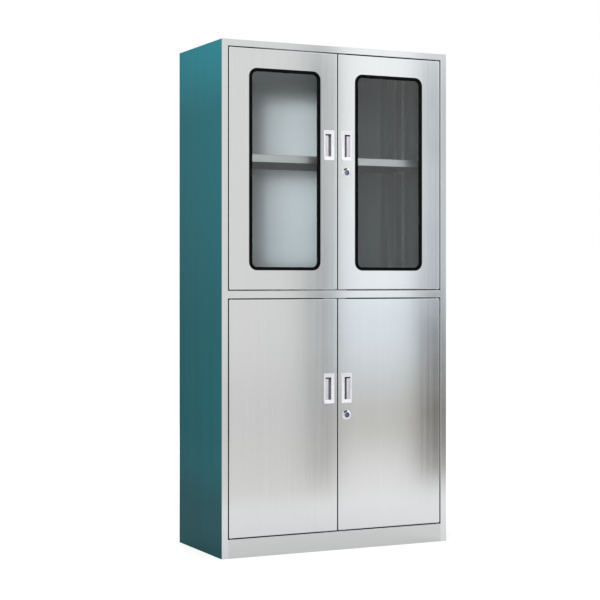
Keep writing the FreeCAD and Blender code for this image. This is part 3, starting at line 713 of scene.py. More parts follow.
@dataclass(frozen=True)
class PlatedMetal:
    """Plated or polished small parts: zinc on brackets and bolts, chrome on the locks."""

    name: str
    tone: Colour
    tarnish: Colour
    roughness: float
    spangle: float = 260.0
    patches: Span = (0.4, 0.75)
    swing: float = 0.12
    relief: float = 0.04
    relief_depth: float = 0.0003

    def make(self) -> bpy.types.Material:
        """Build the material.

        Returns:
            The material.
        """
        paint = Paintwork(self.name)
        wiring = paint.wiring
        cloud = paint.cloud(self.spangle)
        colour = wiring.mix(wiring.smooth(cloud, *self.patches), self.tone, self.tarnish)
        rough = wiring.lift(cloud, self.swing, self.roughness)
        paint.set(Base_Color=colour, Roughness=rough, Metallic=1.0)
        paint.bump(cloud, self.relief, self.relief_depth)
        return paint.material


STEEL = (0.83, 0.84, 0.85)
# Painted highlight on the folds of the doors, posts and rails.
FOLD_HIGHLIGHT = (0.95, 0.96, 0.97)
# Painted highlight on the folds of the plinth and the top.
SOFT_FOLD_HIGHLIGHT = (0.88, 0.89, 0.90)
# Painted shade on the faces across of the doors, posts, rails and plinth, where they lie in the gaps.
GAP_SHADE = (0.15, 0.15, 0.16)
TOP_STEEL = (0.74, 0.75, 0.76)
# Painted shade in the cabinet's rear corners.
CORNER_SHADE = (0.34, 0.35, 0.36)
SHADED_STEEL = (0.16, 0.16, 0.16)


class Finish(Enum):
    """Every finish on the cabinet."""

    DOOR = BrushedSteel("brushed_door", STEEL, FOLD_HIGHLIGHT, GAP_SHADE, Grain.UPRIGHT, 0.16)
    RAIL = BrushedSteel("brushed_rail", STEEL, FOLD_HIGHLIGHT, GAP_SHADE, Grain.LEVEL, 0.16)
    # The plinth's steel is darker than the doors': painted shade near the floor.
    PLINTH = BrushedSteel("brushed_plinth", (0.74, 0.745, 0.75), SOFT_FOLD_HIGHLIGHT, GAP_SHADE, Grain.LEVEL, 0.18)
    TOP = BrushedSteel("brushed_top", TOP_STEEL, SOFT_FOLD_HIGHLIGHT, TOP_STEEL, Grain.LEVEL, 0.34, relief=0.02)
    INNER = BrushedSteel(
        name="brushed_inner",
        tone=(0.70, 0.735, 0.775),
        polish=(0.72, 0.755, 0.795),
        edge=(0.50, 0.52, 0.54),
        grain=Grain.UPRIGHT,
        roughness=0.25,
        fine=0.08,
        broad=0.02,
        swing=0.02,
        relief=0.03,
    )
    LINER = BrushedSteel(
        name="brushed_liner",
        tone=(0.50, 0.51, 0.52),
        polish=(0.55, 0.56, 0.57),
        edge=(0.44, 0.45, 0.46),
        grain=Grain.UPRIGHT,
        roughness=0.30,
        fine=0.06,
        broad=0.02,
        swing=0.02,
        relief=0.02,
    )
    # Rear posts and shelf strips: dark steel whose tone is painted shade of the rear corners.
    CORNER = BrushedSteel(
        name="brushed_corner",
        tone=CORNER_SHADE,
        polish=(0.35, 0.36, 0.37),
        edge=CORNER_SHADE,
        grain=Grain.UPRIGHT,
        roughness=0.60,
        fine=0.03,
        broad=0.02,
        swing=0.02,
        relief=0.01,
    )
    # The dark steel under the shelves is painted shade.
    UNDERSIDE = BrushedSteel(
        name="brushed_underside",
        tone=SHADED_STEEL,
        polish=(0.18, 0.18, 0.18),
        edge=SHADED_STEEL,
        grain=Grain.LEVEL,
        roughness=0.34,
        fine=0.05,
        broad=0.02,
        swing=0.02,
        relief=0.02,
    )
    SHELF = BrushedSteel(
        name="brushed_shelf",
        tone=(0.60, 0.605, 0.61),
        polish=(0.70, 0.705, 0.71),
        edge=(0.62, 0.625, 0.63),
        grain=Grain.LEVEL,
        roughness=0.46,
        fine=0.05,
        broad=0.02,
        swing=0.02,
        relief=0.01,
    )
    SIDE = TealSide()
    RUBBER = Rubber("moulded_rubber")
    GLASS = ClearGlass()
    HANDLE = SatinMoulding("handle_satin", (0.71, 0.71, 0.74), (0.66, 0.66, 0.70), 0.32)
    REST = SatinMoulding("handle_rest", (0.53, 0.52, 0.57), (0.48, 0.47, 0.53), 0.36)
    # The slot's walls are dark: painted shade in the handle's recess, on top of the shade its depth gives.
    SLOT_SHADE = SatinMoulding("handle_slot_shade", (0.30, 0.30, 0.31), (0.24, 0.24, 0.25), 0.45)
    NYLON = SatinMoulding("nylon_moulding", (0.030, 0.030, 0.032), (0.020, 0.020, 0.022), 0.42, specks=900.0)
    ZINC = PlatedMetal("zinc_plate", (0.62, 0.64, 0.67), (0.50, 0.51, 0.50), 0.26)
    CHROME = PlatedMetal("polished_chrome", (0.95, 0.95, 0.98), (0.90, 0.90, 0.94), 0.08, spangle=400.0)
    # The dark blue of the dish and the plug is a painted reflection of dark surroundings in the chrome, lighter
    # on the plug's face as a painted highlight.
    DISH = PlatedMetal("dish_painted_reflection", (0.08, 0.10, 0.24), (0.05, 0.07, 0.17), 0.14, spangle=500.0)
    PLUG = PlatedMetal("plug_painted_reflection", (0.27, 0.31, 0.48), (0.16, 0.19, 0.34), 0.10, spangle=500.0)

    @functools.cached_property
    def material(self) -> bpy.types.Material:
        """The finish's material, built the first time that it is asked for."""
        return self.value.make()


class Forming:
    """One piece in the making: loops of edges, the walls between them and the finished object."""

    def __init__(self, stack: Stack) -> None:
        """Start an empty piece whose loops are stacked along an axis."""
        self.mesh = bmesh.new()
        self.stack = stack

    def rim(self, rim: Rim, place: float, segments: int) -> Loop:
        """Lay a rectangle with round corners.

        Args:
            rim: Its outline.
            place: Its place along the stack.
            segments: How many edges each corner has.

        Returns:
            Its edges.
        """
        (left, low), (right, high) = rim.low, rim.high
        points = ((left, low), (right, low), (right, high), (left, high))
        corners = [self.mesh.verts.new(self.stack.point(*point, place)) for point in points]
        face = self.mesh.faces.new(corners)
        if rim.corner > 0:
            bevelled = bmesh.ops.bevel(
                self.mesh,
                geom=corners,
                offset=rim.corner,
                segments=segments,
                profile=0.5,
                affect="VERTICES",
                material=-1,
            )
            face = bevelled["verts"][0].link_faces[0]
        edges = list(face.edges)
        bmesh.ops.delete(self.mesh, geom=[face], context="FACES_ONLY")
        return edges

    def circle(self, disc: Disc, place: float, segments: int) -> Loop:
        """Lay a circle.

        Args:
            disc: Its outline.
            place: Its place along the stack.
            segments: How many edges it has.

        Returns:
            Its edges.
        """
        matrix = Matrix.Translation(self.stack.point(*disc.centre, place)) @ self.stack.turn
        made = bmesh.ops.create_circle(self.mesh, segments=segments, radius=disc.radius, matrix=matrix)
        return list({edge for vert in made["verts"] for edge in vert.link_edges})

    def stacked(self, outline: list[tuple[Rim | Disc, float]], segments: int) -> list[Loop]:
        """Lay one loop after another.

        A loop in the same plane as the one before creeps on along the stack by less than shows, because
        two loops in one plane leave it open which way round their walls go.

        Args:
            outline: Each loop's outline and its place along the stack.
            segments: How many edges a rim's corner or a whole circle has.

        Returns:
            The loops.
        """
        loops = []
        before = None
        for shape, place in outline:
            lay = self.rim if isinstance(shape, Rim) else self.circle
            loops.append(lay(shape, place + LOOP_CREEP * (place == before), segments))
            before = place
        return loops

    def turned(self, centre: Span, profile: tuple[Span, ...], segments: int) -> list[Loop]:
        """Lay circles about one centre, one after another.

        Args:
            centre: Their centre.
            profile: Each circle's radius and its place along the stack.
            segments: How many edges each has.

        Returns:
            The loops.
        """
        return self.stacked([(Disc(centre, radius), place) for radius, place in profile], segments)

    def loft(self, loops: list[Loop], closed: bool = False, second_from: int | None = None) -> None:
        """Build walls from loop to loop, and close the ends.

        Args:
            loops: The loops, in order.
            closed: Whether the last loop joins the first; otherwise both ends get a face.
            second_from: The loop from which the walls take the second finish.
        """
        following = loops[1:] + loops[:1] if closed else loops[1:]
        for index, (loop, other) in enumerate(zip(loops, following)):
            walls = bmesh.ops.bridge_loops(self.mesh, edges=loop + other)["faces"]
            if second_from is not None and index >= second_from:
                for wall in walls:
                    wall.material_index = Coat.SECOND
        if not closed:
            last = Coat.MAIN if second_from is None else Coat.SECOND
            bmesh.ops.edgeloop_fill(self.mesh, edges=loops[0], mat_nr=Coat.MAIN)
            bmesh.ops.edgeloop_fill(self.mesh, edges=loops[-1], mat_nr=last)

    def soften(self, edges: Loop, radius: float, segments: int = 3) -> None:
        """Round edges.

        Args:
            edges: The edges.
            radius: The rounding's radius.
            segments: How many faces it has.
        """
        bmesh.ops.bevel(
            self.mesh,
            geom=edges,
            offset=radius,
            segments=segments,
            profile=0.5,
            affect="EDGES",
            material=-1,
            clamp_overlap=True,
        )

    def block(self, low: Vector, high: Vector, rounding: float, front: Coat, flank: Coat) -> None:
        """Add a block with rounded edges.

        Args:
            low: Its lowest corner.
            high: Its highest corner.
            rounding: The radius of its edges.
            front: Its front's finish.
            flank: The other sides' finish.
        """
        size = high - low
        matrix = Matrix.Translation((low + high) / 2) @ Matrix.Diagonal((*size, 1.0))
        verts = bmesh.ops.create_cube(self.mesh, size=1.0, matrix=matrix)["verts"]
        for face in {face for vert in verts for face in vert.link_faces}:
            face.normal_update()
            face.material_index = front if face.normal.y < FRONT_FACING else flank
        self.soften(list({edge for vert in verts for edge in vert.link_edges}), rounding)

    def finish(
        self,
        name: str,
        body: str,
        slot: str,
        finishes: tuple[Finish, ...],
        replaces: tuple[str, ...],
        hand: Hand = Hand.LEFT,
    ) -> bpy.types.Object:
        """Turn the mesh into an object that rides on a body.

        Args:
            name: The piece's name.
            body: The body that it moves with.
            slot: The record's material slot; not used.
            finishes: Its finishes, in the order of the coats.
            replaces: The nodes that it stands for.
            hand: Which hand it is for; pieces are drawn for the left and turned over for the right.

        Returns:
            The object.
        """
        if hand is Hand.RIGHT:
            bmesh.ops.scale(self.mesh, vec=(-1.0, 1.0, 1.0), verts=self.mesh.verts)
        bmesh.ops.recalc_face_normals(self.mesh, faces=self.mesh.faces)
        data = bpy.data.meshes.new(name)
        self.mesh.to_mesh(data)
        self.mesh.free()
        data.shade_smooth()
        data.set_sharp_from_angle(angle=SHARP_ANGLE)
        for finish in finishes:
            data.materials.append(finish.material)
        piece = bpy.data.objects.new(name, data)
        bpy.context.scene.collection.objects.link(piece)
        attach(piece, body)
        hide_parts(*replaces)
        LOG.info("%s rides on %s: %d faces", name, body, len(data.polygons))
        return piece


def dress(finish: Finish, *nodes: str) -> None:
    """Give parts that keep their own shape a finish.

    Args:
        finish: The finish.
        *nodes: The parts' names.
    """
    for node in nodes:
        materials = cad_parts[node].data.materials
        materials.clear()
        materials.append(finish.material)
        LOG.info("%s dressed as %s", node, finish.value.name)


@dataclass
class Carcase:
    """The folded housing, its shelves and what is fixed to it."""

    shelf_sheet: float = 0.001
    shelf_fold: float = 0.0022
    shelf_corner: float = 0.002
    corner_steps: int = 3
    bumper_radius: float = 0.005
    bumper_shoulder: float = 0.004
    bumper_tip: float = 0.00225
    bumper_crown: float = 0.0004
    bumper_offset: float = 0.025
    bumper_drop: float = 0.008
    bumper_steps: int = 24

    def dress(self) -> None:
        """Finish the parts that keep their own shape."""
        dress(Finish.SIDE, "left_side_panel", "right_side_panel")
        dress(Finish.TOP, "top_panel")
        dress(Finish.INNER, "back_panel")
        dress(Finish.CORNER, "rear_posts", "shelf_strips")
        dress(Finish.SHELF, "mid_panel", "bottom_panel", "rear_plinth")
        dress(Finish.DOOR, "left_front_post", "right_front_post")
        dress(Finish.RAIL, "top_rail", "mid_rail")
        dress(Finish.PLINTH, "plinth")
        dress(Finish.NYLON, "hinge_bushes")
        dress(Finish.ZINC, "door_stops", "shelf_clips")

    def build(self) -> None:
        """Build the shelves and the bumpers."""
        for level in Level:
            self.build_shelf(level)
        self.build_bumpers()

    def build_shelf(self, level: Level) -> None:
        """Build a pan whose folds are rounded, open below and dark inside with painted shade.

        Args:
            level: Which compartment it lies in.
        """
        node = f"{level.value}_shelf"
        low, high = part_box(node)
        outer = Rim((low.x, low.y), (high.x, high.y), self.shelf_corner)
        inner = outer.drawn_in(self.shelf_sheet)
        outline = [(outer, high.z), (outer, low.z), (inner, low.z), (inner, high.z - self.shelf_sheet)]
        inside = outline.index((inner, low.z))
        forming = Forming(Stack.Z)
        loops = forming.stacked(outline, self.corner_steps)
        forming.loft(loops, second_from=inside)
        forming.soften(loops[0], self.shelf_fold)
        finishes = (Finish.SHELF, Finish.UNDERSIDE)
        forming.finish(f"{level.value}_shelf_pan", "carcase", "inner_steel", finishes, (node,))

    def build_bumpers(self) -> None:
        """Build eight domed rubber buttons on the door stops."""
        low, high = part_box("door_bumpers")
        heads = (
            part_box("top_rail")[0].z - self.bumper_drop,
            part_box("mid_rail")[1].z + self.bumper_drop,
            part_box("mid_rail")[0].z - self.bumper_drop,
            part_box("plinth")[1].z + self.bumper_drop,
        )
        dome = (
            (self.bumper_radius, high.y),
            (self.bumper_radius, (low.y + high.y) / 2),
            (self.bumper_shoulder, low.y + self.bumper_crown),
            (self.bumper_tip, low.y),
        )
        forming = Forming(Stack.Y)
        for place in heads:
            for hand in Hand:
                centre = (hand.value * self.bumper_offset, place)
                forming.loft(forming.turned(centre, dome, self.bumper_steps))
        finishes = (Finish.RUBBER,)
        forming.finish("door_bumper_buttons", "carcase", "black_rubber", finishes, ("door_bumpers",))


@dataclass
class WindowSeal:
    """The rubber profile that holds a pane in a glazed door."""

    face: float = 0.0116
    corner: float = 0.030
    proud: float = 0.0022
    lap: float = 0.0049
    skin: float = 0.0008
    pane: float = 0.004
    bite: float = 0.0048
    play: float = 0.00005
    rounding: float = 0.001
    corner_steps: int = 12

    def build(self, level: Level, hand: Hand) -> None:
        """Build the seal of one door.

        Args:
            level: The pair of doors.
            hand: The door.
        """
        low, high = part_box(f"{level.value}_left_gasket")
        outer = Rim((low.x, low.z), (high.x, high.z), self.corner)
        front = low.y
        skin_front = front + self.proud
        groove_front = skin_front - self.play
        groove_back = skin_front + self.pane + self.play
        skin_back = skin_front + self.skin + self.play
        outline = (
            (0.0, groove_front),
            (0.0, front),
            (self.face, front),
            (self.face, groove_front),
            (self.face - self.bite, groove_front),
            (self.face - self.bite, groove_back),
            (self.face, groove_back),
            (self.face, high.y),
            (0.0, high.y),
            (0.0, skin_back),
            (self.lap, skin_back),
            (self.lap, groove_front),
        )
        forming = Forming(Stack.Y)
        rims = [(outer.drawn_in(inset), place) for inset, place in outline]
        loops = forming.stacked(rims, self.corner_steps)
        forming.loft(loops, closed=True)
        forming.soften(loops[1] + loops[2], self.rounding)
        door = f"{level.value}_{hand.word}"
        name = f"{door}_window_seal"
        finishes = (Finish.RUBBER,)
        forming.finish(name, f"{door}_door", "black_rubber", finishes, (f"{door}_gasket",), hand)


@dataclass
class RecessedHandle:
    """A pale bezel round a finger rest, with a deep slot behind its lip whose walls are darkened with painted
    shade.
    """

    bezel_thickness: float = 0.0025
    bezel_corner: float = 0.003
    bezel_round: float = 0.0011
    rim_width: float = 0.0028
    rim_step: float = 0.0005
    margin: float = 0.0055
    width: float = 0.0235
    height: float = 0.080
    slot: float = 0.010
    head: float = 0.005
    rest: float = 0.0035
    undercut: float = 0.008
    lip: float = 0.0035
    wall: float = 0.0015
    rest_round: float = 0.0012
    seat: float = 0.0003
    corner_steps: int = 4

    def build(self, level: Level, hand: Hand) -> None:
        """Build the handle of one door.

        Args:
            level: The pair of doors.
            hand: The door.
        """
        low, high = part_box(f"{level.value}_left_handle")
        middle = (low.z + high.z) / 2
        bottom = middle - self.height / 2
        top = middle + self.height / 2
        left = low.x + self.margin
        right = left + self.width
        floor = high.y - self.wall
        lip_back = low.y + self.lip
        skin_front = low.y + self.bezel_thickness
        bezel = Rim((low.x, low.z), (high.x, high.z), self.bezel_corner)
        mouth = Rim((left, bottom), (right, top), self.bezel_round)
        pocket = Rim((left, bottom), (right + self.undercut, top), self.bezel_round)
        cup = pocket.drawn_in(-self.wall)
        edge = (bezel, low.y)
        brim = (mouth, low.y + self.rim_step)
        lip = (mouth, lip_back)
        outline = [
            (cup, high.y),
            (cup, skin_front),
            (bezel, skin_front),
            edge,
            (bezel.drawn_in(self.rim_width), low.y),
            (bezel.drawn_in(self.rim_width + self.rim_step), low.y + self.rim_step),
            brim,
            lip,
            (pocket, lip_back),
            (pocket, floor),
        ]
        forming = Forming(Stack.Y)
        loops = forming.stacked(outline, self.corner_steps)
        forming.loft(loops, second_from=outline.index(lip))
        forming.soften(loops[outline.index(edge)], self.bezel_round)
        forming.soften(loops[outline.index(brim)], self.rim_step)
        forming.block(
            Vector((left - self.seat, low.y + self.rest, bottom - self.seat)),
            Vector((right - self.slot, floor + self.seat, top - self.head)),
            self.rest_round,
            front=Coat.THIRD,
            flank=Coat.SECOND,
        )
        door = f"{level.value}_{hand.word}"
        name = f"{door}_recessed_handle"
        finishes = (Finish.HANDLE, Finish.SLOT_SHADE, Finish.REST)
        forming.finish(name, f"{door}_door", "handle_finish", finishes, (f"{door}_handle",), hand)


@dataclass
class CamLock:
    """The barrel and the turning plug of one lock."""

    ring_radius: float = 0.017
    ring_face: float = 0.0112
    ring_edge: float = 0.0012
    ring_proud: float = 0.0042
    ring_steps: int = 64
    dish: float = 0.0094
    dish_depth: float = 0.0012
    mark_start: float = 86.0
    mark_sweep: float = 56.0
    mark_inner: float = 0.0118
    mark_outer: float = 0.0166
    mark_proud: float = 0.0003
    mark_steps: int = 12
    barrel: float = 0.0095
    bore: float = 0.00705
    plug: float = 0.007
    plug_chamfer: float = 0.0006
    plug_steps: int = 36
    boss: float = 0.004
    boss_length: float = 0.002
    keyway_width: float = 0.002
    keyway_height: float = 0.008
    keyway_depth: float = 0.010
    keyway_round: float = 0.0008
    keyway_steps: int = 8
    rounding: float = 0.0005

    def build(self, level: Level) -> None:
        """Build the lock of one right-hand door."""
        self.build_barrel(level)
        self.build_plug(level)

    def build_barrel(self, level: Level) -> None:
        """Build the fixed ring and barrel.

        Args:
            level: The pair of doors.
        """
        node = f"{level.value}_lock_barrel"
        low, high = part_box(node)
        centre = ((low.x + high.x) / 2, (low.z + high.z) / 2)
        skin_front = low.y + self.ring_proud
        bore_back = (self.bore, high.y)
        profile = (
            (self.dish, low.y),
            (self.ring_face, low.y),
            (self.ring_radius, skin_front - self.ring_edge),
            (self.ring_radius, skin_front),
            (self.barrel, skin_front),
            (self.barrel, high.y),
            bore_back,
            (self.bore, low.y + self.dish_depth),
        )
        forming = Forming(Stack.Y)
        loops = forming.turned(centre, profile, self.ring_steps)
        forming.loft(loops, closed=True, second_from=profile.index(bore_back))
        forming.soften(loops[0] + loops[1] + loops[2], self.rounding)
        self.dark_reflection_mark(forming, centre, low.y)
        finishes = (Finish.CHROME, Finish.DISH, Finish.RUBBER)
        door = f"{level.value}_right_door"
        forming.finish(f"{level.value}_lock_ring", door, "lock_chrome", finishes, (node,))

    def dark_reflection_mark(self, forming: Forming, centre: Span, front: float) -> None:
        """Lay the dark curved mark on the ring: a painted reflection of dark surroundings in the chrome, in
        black rubber.

        Args:
            forming: The barrel in the making.
            centre: The lock's centre, across and up.
            front: The ring's face.
        """
        mesh = forming.mesh
        start = math.radians(self.mark_start)
        slope = (self.ring_proud - self.ring_edge) / (self.ring_radius - self.ring_face)
        inner = front + slope * (self.mark_inner - self.ring_face)
        outer = front + slope * (self.mark_outer - self.ring_face)
        spots = (
            (self.mark_inner, inner + self.mark_proud),
            (self.mark_outer, outer + self.mark_proud),
            (self.mark_outer, outer - self.mark_proud),
            (self.mark_inner, inner - self.mark_proud),
        )
        verts = [
            mesh.verts.new((centre[0] + reach * math.cos(start), depth, centre[1] + reach * math.sin(start)))
            for reach, depth in spots
        ]
        face = mesh.faces.new(verts)
        before = set(mesh.faces)
        bmesh.ops.spin(
            mesh,
            geom=[face],
            cent=(centre[0], front, centre[1]),
            axis=(0.0, -1.0, 0.0),
            angle=math.radians(self.mark_sweep),
            steps=self.mark_steps,
            use_duplicate=False,
        )
        for made in set(mesh.faces) - before | {face}:
            if made.is_valid:
                made.material_index = Coat.THIRD

    def build_plug(self, level: Level) -> None:
        """Build the plug with its keyway.

        Args:
            level: The pair of doors.
        """
        node = f"{level.value}_lock_plug"
        low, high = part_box(node)
        across, up = (low.x + high.x) / 2, (low.z + high.z) / 2
        half, reach = self.keyway_width / 2, self.keyway_height / 2
        keyway = Rim((across - half, up - reach), (across + half, up + reach), self.keyway_round)
        shoulder = high.y - self.boss_length
        profile = (
            (self.plug - self.plug_chamfer, low.y),
            (self.plug, low.y + self.plug_chamfer),
            (self.plug, shoulder),
            (self.boss, shoulder),
            (self.boss, high.y),
        )
        forming = Forming(Stack.Y)
        slot = [(keyway, low.y + self.keyway_depth), (keyway, low.y + LOOP_CREEP)]
        loops = forming.stacked(slot, self.keyway_steps)
        loops += forming.turned((across, up), profile, self.plug_steps)
        forming.loft(loops)
        forming.finish(f"{level.value}_key_plug", node, "lock_chrome", (Finish.PLUG,), (node,))


@dataclass
class SlidingBolt:
    """One bolt of a left-hand door: a chamfered rod and a thumb knob."""

    rod: float = 0.004
    chamfer: float = 0.0008
    stem: float = 0.0028
    knob: float = 0.0046
    knob_length: float = 0.006
    knob_round: float = 0.0009
    knob_drop: float = 0.043
    steps: int = 32

    def build(self, level: Level, end: End) -> None:
        """Build one bolt.

        Args:
            level: The pair of doors.
            end: Which end of the door it locks.
        """
        node = f"{level.value}_left_{end.value}_bolt"
        low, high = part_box(node)
        across = (low.x + high.x) / 2
        axis = low.y + self.rod
        rod = (
            (self.rod - self.chamfer, low.z),
            (self.rod, low.z + self.chamfer),
            (self.rod, high.z - self.chamfer),
            (self.rod - self.chamfer, high.z),
        )
        forming = Forming(Stack.Z)
        forming.loft(forming.turned((across, axis), rod, self.steps))
        forming.stack = Stack.Y
        place = high.z - self.knob_drop if end is End.TOP else low.z + self.knob_drop
        foot = high.y - self.knob_length
        knob = ((self.stem, axis), (self.stem, foot), (self.knob, foot), (self.knob, high.y))
        loops = forming.turned((across, place), knob, self.steps)
        forming.loft(loops)
        forming.soften(loops[2] + loops[3], self.knob_round)
        body = f"{level.value}_{end.value}_bolt"
        forming.finish(f"{body}_rod", body, "plated_steel", (Finish.ZINC,), (node,))


@dataclass
class DoorPair:
    """The two doors of one level and all that hangs on them."""

    level: Level
    glazed: bool

    def dress(self) -> None:
        """Finish the parts that keep their own shape."""
        level = self.level.value
        for hand in Hand:
            door = f"{level}_{hand.word}"
            dress(Finish.DOOR, f"{door}_door_skin")
            dress(Finish.LINER, f"{door}_door_liner")
            dress(Finish.ZINC, f"{door}_hinge_pins")
            if self.glazed:
                dress(Finish.GLASS, f"{door}_glass")
            else:
                dress(Finish.LINER, f"{door}_stiffener")
        dress(Finish.ZINC, f"{level}_left_bolt_guides", f"{level}_strike_plate")
        dress(Finish.ZINC, f"{level}_lock_nut", f"{level}_lock_cam")

    def build(self) -> None:
        """Build the fittings that are finer than their solids."""
        for hand in Hand:
            if self.glazed:
                WindowSeal().build(self.level, hand)
            RecessedHandle().build(self.level, hand)
        CamLock().build(self.level)
        for end in End:
            SlidingBolt().build(self.level, end)


@dataclass(frozen=True)
class Lamp:
    """One soft lamp."""

    name: str
    place: tuple[float, float, float]
    side: float
    watts: float


@dataclass(frozen=True)
class Cloth:
    """A darker cloth that hangs on the wall, the same on both sides."""

    rise: Span
    fall: Span
    span: Span
    low_shade: float
    high_shade: float
    low_colour: Colour
    high_colour: Colour
    foot: float


@dataclass
class Studio:
    """Camera, lamps, floor and the pale surroundings that the steel mirrors."""

    camera_place: tuple[float, float, float] = (-2.5624, -5.2035, 0.96335)
    camera_turn: float = -25.738
    lens: float = 94.25
    shift_up: float = -0.0324
    aim: tuple[float, float, float] = (0.0, 0.0, 0.95)
    floor_half: float = 30.0
    floor_drop: float = 0.0004
    floor_fade: Span = (0.6, 3.2)
    floor_near: float = 0.60
    floor_far: float = 0.86
    floor_mirrored: float = 0.42
    floor_tone: Colour = (0.42, 0.42, 0.42)
    floor_roughness: float = 0.9
    wall_distance: float = 1.4
    wall_half: float = 5.0
    wall_height: float = 5.0
    cloth_foot: float = -0.03
    cloth_head: Span = (2.29, 1.79)
    near_far: Span = (0.585, 0.635)
    wall_glow: float = 1.05
    world_light: float = 0.5
    world_seen: float = 0.5

    NEAR_STOPS: ClassVar[tuple[Stop, ...]] = (
        (0.0, (0.715, 0.705, 0.68)),
        (0.025, (0.69, 0.68, 0.66)),
        (0.07, (0.65, 0.645, 0.635)),
        (0.16, (0.73, 0.73, 0.715)),
        (0.42, (0.75, 0.75, 0.74)),
        (0.55, (0.93, 0.93, 0.92)),
    )
    FAR_STOPS: ClassVar[tuple[Stop, ...]] = (
        (0.0, (0.87, 0.855, 0.86)),
        (0.02, (0.80, 0.79, 0.78)),
        (0.065, (0.58, 0.57, 0.54)),
        (0.15, (0.79, 0.85, 0.89)),
        (0.20, (0.93, 0.98, 1.0)),
        (0.3, (0.98, 1.0, 1.0)),
    )
    CLOTHS: ClassVar[tuple[Cloth, ...]] = (
        Cloth(
            rise=(0.39, 0.53),
            fall=(0.59, 0.63),
            span=(0.2, 1.0),
            low_shade=0.44,
            high_shade=0.54,
            low_colour=(0.02, 0.02, 0.02),
            high_colour=(0.00, 0.02, 0.04),
            foot=0.19,
        ),
        Cloth(
            rise=(0.98, 1.08),
            fall=(1.08, 1.36),
            span=(0.6, 1.1),
            low_shade=0.94,
            high_shade=0.61,
            low_colour=(0.065, 0.05, 0.04),
            high_colour=(0.01, 0.04, 0.09),
            foot=0.15,
        ),
    )
    LAMPS: ClassVar[tuple[Lamp, ...]] = (
        Lamp("key_lamp", (-2.6, -3.4, 3.4), side=2.4, watts=165.0),
        Lamp("fill_lamp", (3.2, -3.0, 2.2), side=2.4, watts=78.0),
        Lamp("top_lamp", (0.0, 0.4, 4.2), side=2.6, watts=90.0),
        Lamp("rear_lamp", (0.8, 4.0, 2.6), side=2.6, watts=60.0),
    )

    def build(self) -> None:
        """Set the whole studio up."""
        bpy.context.scene.view_settings.view_transform = "Standard"
        self.set_camera()
        self.hang_lamps()
        self.lay_floor()
        self.stand_wall()
        self.surround()

    def set_camera(self) -> None:
        """Stand the camera where the photograph was taken from."""
        data = bpy.data.cameras.new("camera")
        data.lens = self.lens
        data.shift_y = self.shift_up
        camera = bpy.data.objects.new("camera", data)
        camera.location = self.camera_place
        camera.rotation_euler = (QUARTER_TURN, 0.0, math.radians(self.camera_turn))
        bpy.context.scene.collection.objects.link(camera)
        bpy.context.scene.camera = camera

    def hang_lamps(self) -> None:
        """Hang the soft lamps, each turned to the middle of the cabinet."""
        for lamp in self.LAMPS:
            data = bpy.data.lights.new(lamp.name, "AREA")
            data.energy = lamp.watts
            data.size = lamp.side
            light = bpy.data.objects.new(lamp.name, data)
            light.location = lamp.place
            light.visible_glossy = False
            way = Vector(self.aim) - Vector(lamp.place)
            light.rotation_euler = way.to_track_quat("-Z", "Y").to_euler()
            bpy.context.scene.collection.objects.link(light)

    def seen(self, wiring: Wiring, straight: float, mirrored: float) -> Socket:
        """Work out how strongly a ray sees the plain ground.

        Args:
            wiring: The tree in which to ask.
            straight: The strength for the camera, also through glass.
            mirrored: The strength for polished metal.

        Returns:
            The strength's socket, 0 for any other ray.
        """
        path = wiring.add("ShaderNodeLightPath").outputs
        through = wiring.math("MAXIMUM", path["Is Camera Ray"], path["Is Transmission Ray"])
        glossy = wiring.times(path["Is Glossy Ray"], mirrored)
        return wiring.math("MAXIMUM", wiring.times(through, straight), glossy)

    def sheet(self, name: str, corners: tuple[tuple[float, float, float], ...]) -> bpy.types.Object:
        """Lay a flat stage sheet with a material of its own.

        Args:
            name: Its name.
            corners: Its four corners.

        Returns:
            The sheet.
        """
        mesh = bmesh.new()
        mesh.faces.new([mesh.verts.new(corner) for corner in corners])
        data = bpy.data.meshes.new(name)
        mesh.to_mesh(data)
        mesh.free()
        sheet = bpy.data.objects.new(name, data)
        material = bpy.data.materials.new(name)
        material.use_nodes = True
        data.materials.append(material)
        bpy.context.scene.collection.objects.link(sheet)
        return sheet

    def lay_floor(self) -> None:
        """Lay a pale floor that shows white and keeps a faint shadow."""
        half = self.floor_half
        low = -self.floor_drop
        corners = ((-half, -half, low), (half, -half, low), (half, half, low), (-half, half, low))
        floor = self.sheet("studio_floor", corners)
        tree = floor.data.materials[0].node_tree
        wiring = Wiring(tree)
        shader = tree.nodes["Principled BSDF"].inputs
        wiring.feed(shader["Base Color"], self.floor_tone)
        wiring.feed(shader["Roughness"], self.floor_roughness)
        wiring.feed(shader["Specular IOR Level"], 0.0)
        wiring.feed(shader["Emission Color"], WHITE)
        place = wiring.add("ShaderNodeTexCoord").outputs["Object"]
        away = wiring.add("ShaderNodeVectorMath", operation="LENGTH")
        wiring.feed(away.inputs[0], place)
        reach = away.outputs["Value"]
        lift = wiring.smooth(reach, *self.floor_fade, start=self.floor_near, end=self.floor_far)
        seen = self.seen(wiring, straight=1.0, mirrored=self.floor_mirrored)
        wiring.feed(shader["Emission Strength"], wiring.times(lift, seen))

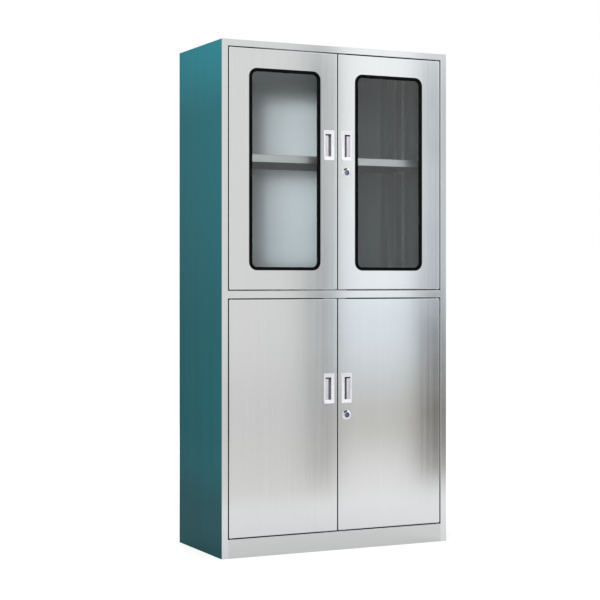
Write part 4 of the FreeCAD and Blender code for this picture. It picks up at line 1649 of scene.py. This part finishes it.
    def stand_wall(self) -> None:
        """Stand a pale wall before the cabinet that only metal mirrors, with darker cloths on it."""
        half = self.wall_half
        near = -self.wall_distance
        top = self.wall_height
        corners = ((-half, near, 0.0), (half, near, 0.0), (half, near, top), (-half, near, top))
        wall = self.sheet("studio_wall", corners)
        wall.visible_camera = False
        wall.visible_diffuse = False
        wall.visible_shadow = False
        tree = wall.data.materials[0].node_tree
        tree.nodes.remove(tree.nodes["Principled BSDF"])
        wiring = Wiring(tree)
        across, _, up = wiring.axes(wiring.add("ShaderNodeTexCoord").outputs["Object"])
        out = wiring.math("ABSOLUTE", across)
        share = wiring.math("DIVIDE", up, top)
        near_tone = wiring.ramp(share, self.NEAR_STOPS)
        far_tone = wiring.ramp(share, self.FAR_STOPS)
        tone = wiring.mix(wiring.smooth(out, *self.near_far), near_tone, far_tone)
        for cloth in self.CLOTHS:
            tone = self.hang_cloth(wiring, cloth, tone, out, up)
        glow = wiring.add("ShaderNodeEmission")
        wiring.feed(glow.inputs["Color"], tone)
        wiring.feed(glow.inputs["Strength"], self.wall_glow)
        wiring.feed(tree.nodes["Material Output"].inputs["Surface"], glow.outputs[0])

    def hang_cloth(self, wiring: Wiring, cloth: Cloth, tone: Socket, out: Socket, up: Socket) -> Socket:
        """Hang a cloth on the wall.

        Args:
            wiring: The wall's tree.
            cloth: The cloth.
            tone: The wall's colour so far.
            out: The way out from the middle.
            up: The height.

        Returns:
            The colour with the cloth over it.
        """
        rise = wiring.smooth(out, *cloth.rise)
        fall = wiring.smooth(out, *cloth.fall, start=1.0, end=0.0)
        depth = wiring.smooth(up, *cloth.span, start=cloth.low_shade, end=cloth.high_shade)
        foot = wiring.smooth(up, self.cloth_foot, cloth.foot)
        head = wiring.smooth(up, *self.cloth_head)
        shade = wiring.times(wiring.times(wiring.times(rise, fall), depth), wiring.times(foot, head))
        tint = wiring.mix(wiring.smooth(up, *cloth.span), cloth.low_colour, cloth.high_colour)
        return wiring.mix(shade, tone, tint)

    def surround(self) -> None:
        """Make a world that is white where it is seen, and gives a plain level of light elsewhere."""
        world = bpy.data.worlds.new("studio_world")
        world.use_nodes = True
        bpy.context.scene.world = world
        wiring = Wiring(world.node_tree)
        ground = world.node_tree.nodes["Background"].inputs
        wiring.feed(ground["Color"], WHITE)
        seen = self.seen(wiring, straight=self.world_seen, mirrored=self.world_seen)
        wiring.feed(ground["Strength"], wiring.math("ADD", seen, self.world_light))


def main() -> None:
    """Build the cabinet's looks and the studio."""
    logging.basicConfig(level=logging.INFO)
    carcase = Carcase()
    carcase.dress()
    carcase.build()
    for pair in (DoorPair(Level.UPPER, glazed=True), DoorPair(Level.LOWER, glazed=False)):
        pair.dress()
        pair.build()
    Studio().build()


if __name__ == "__main__":
    main()
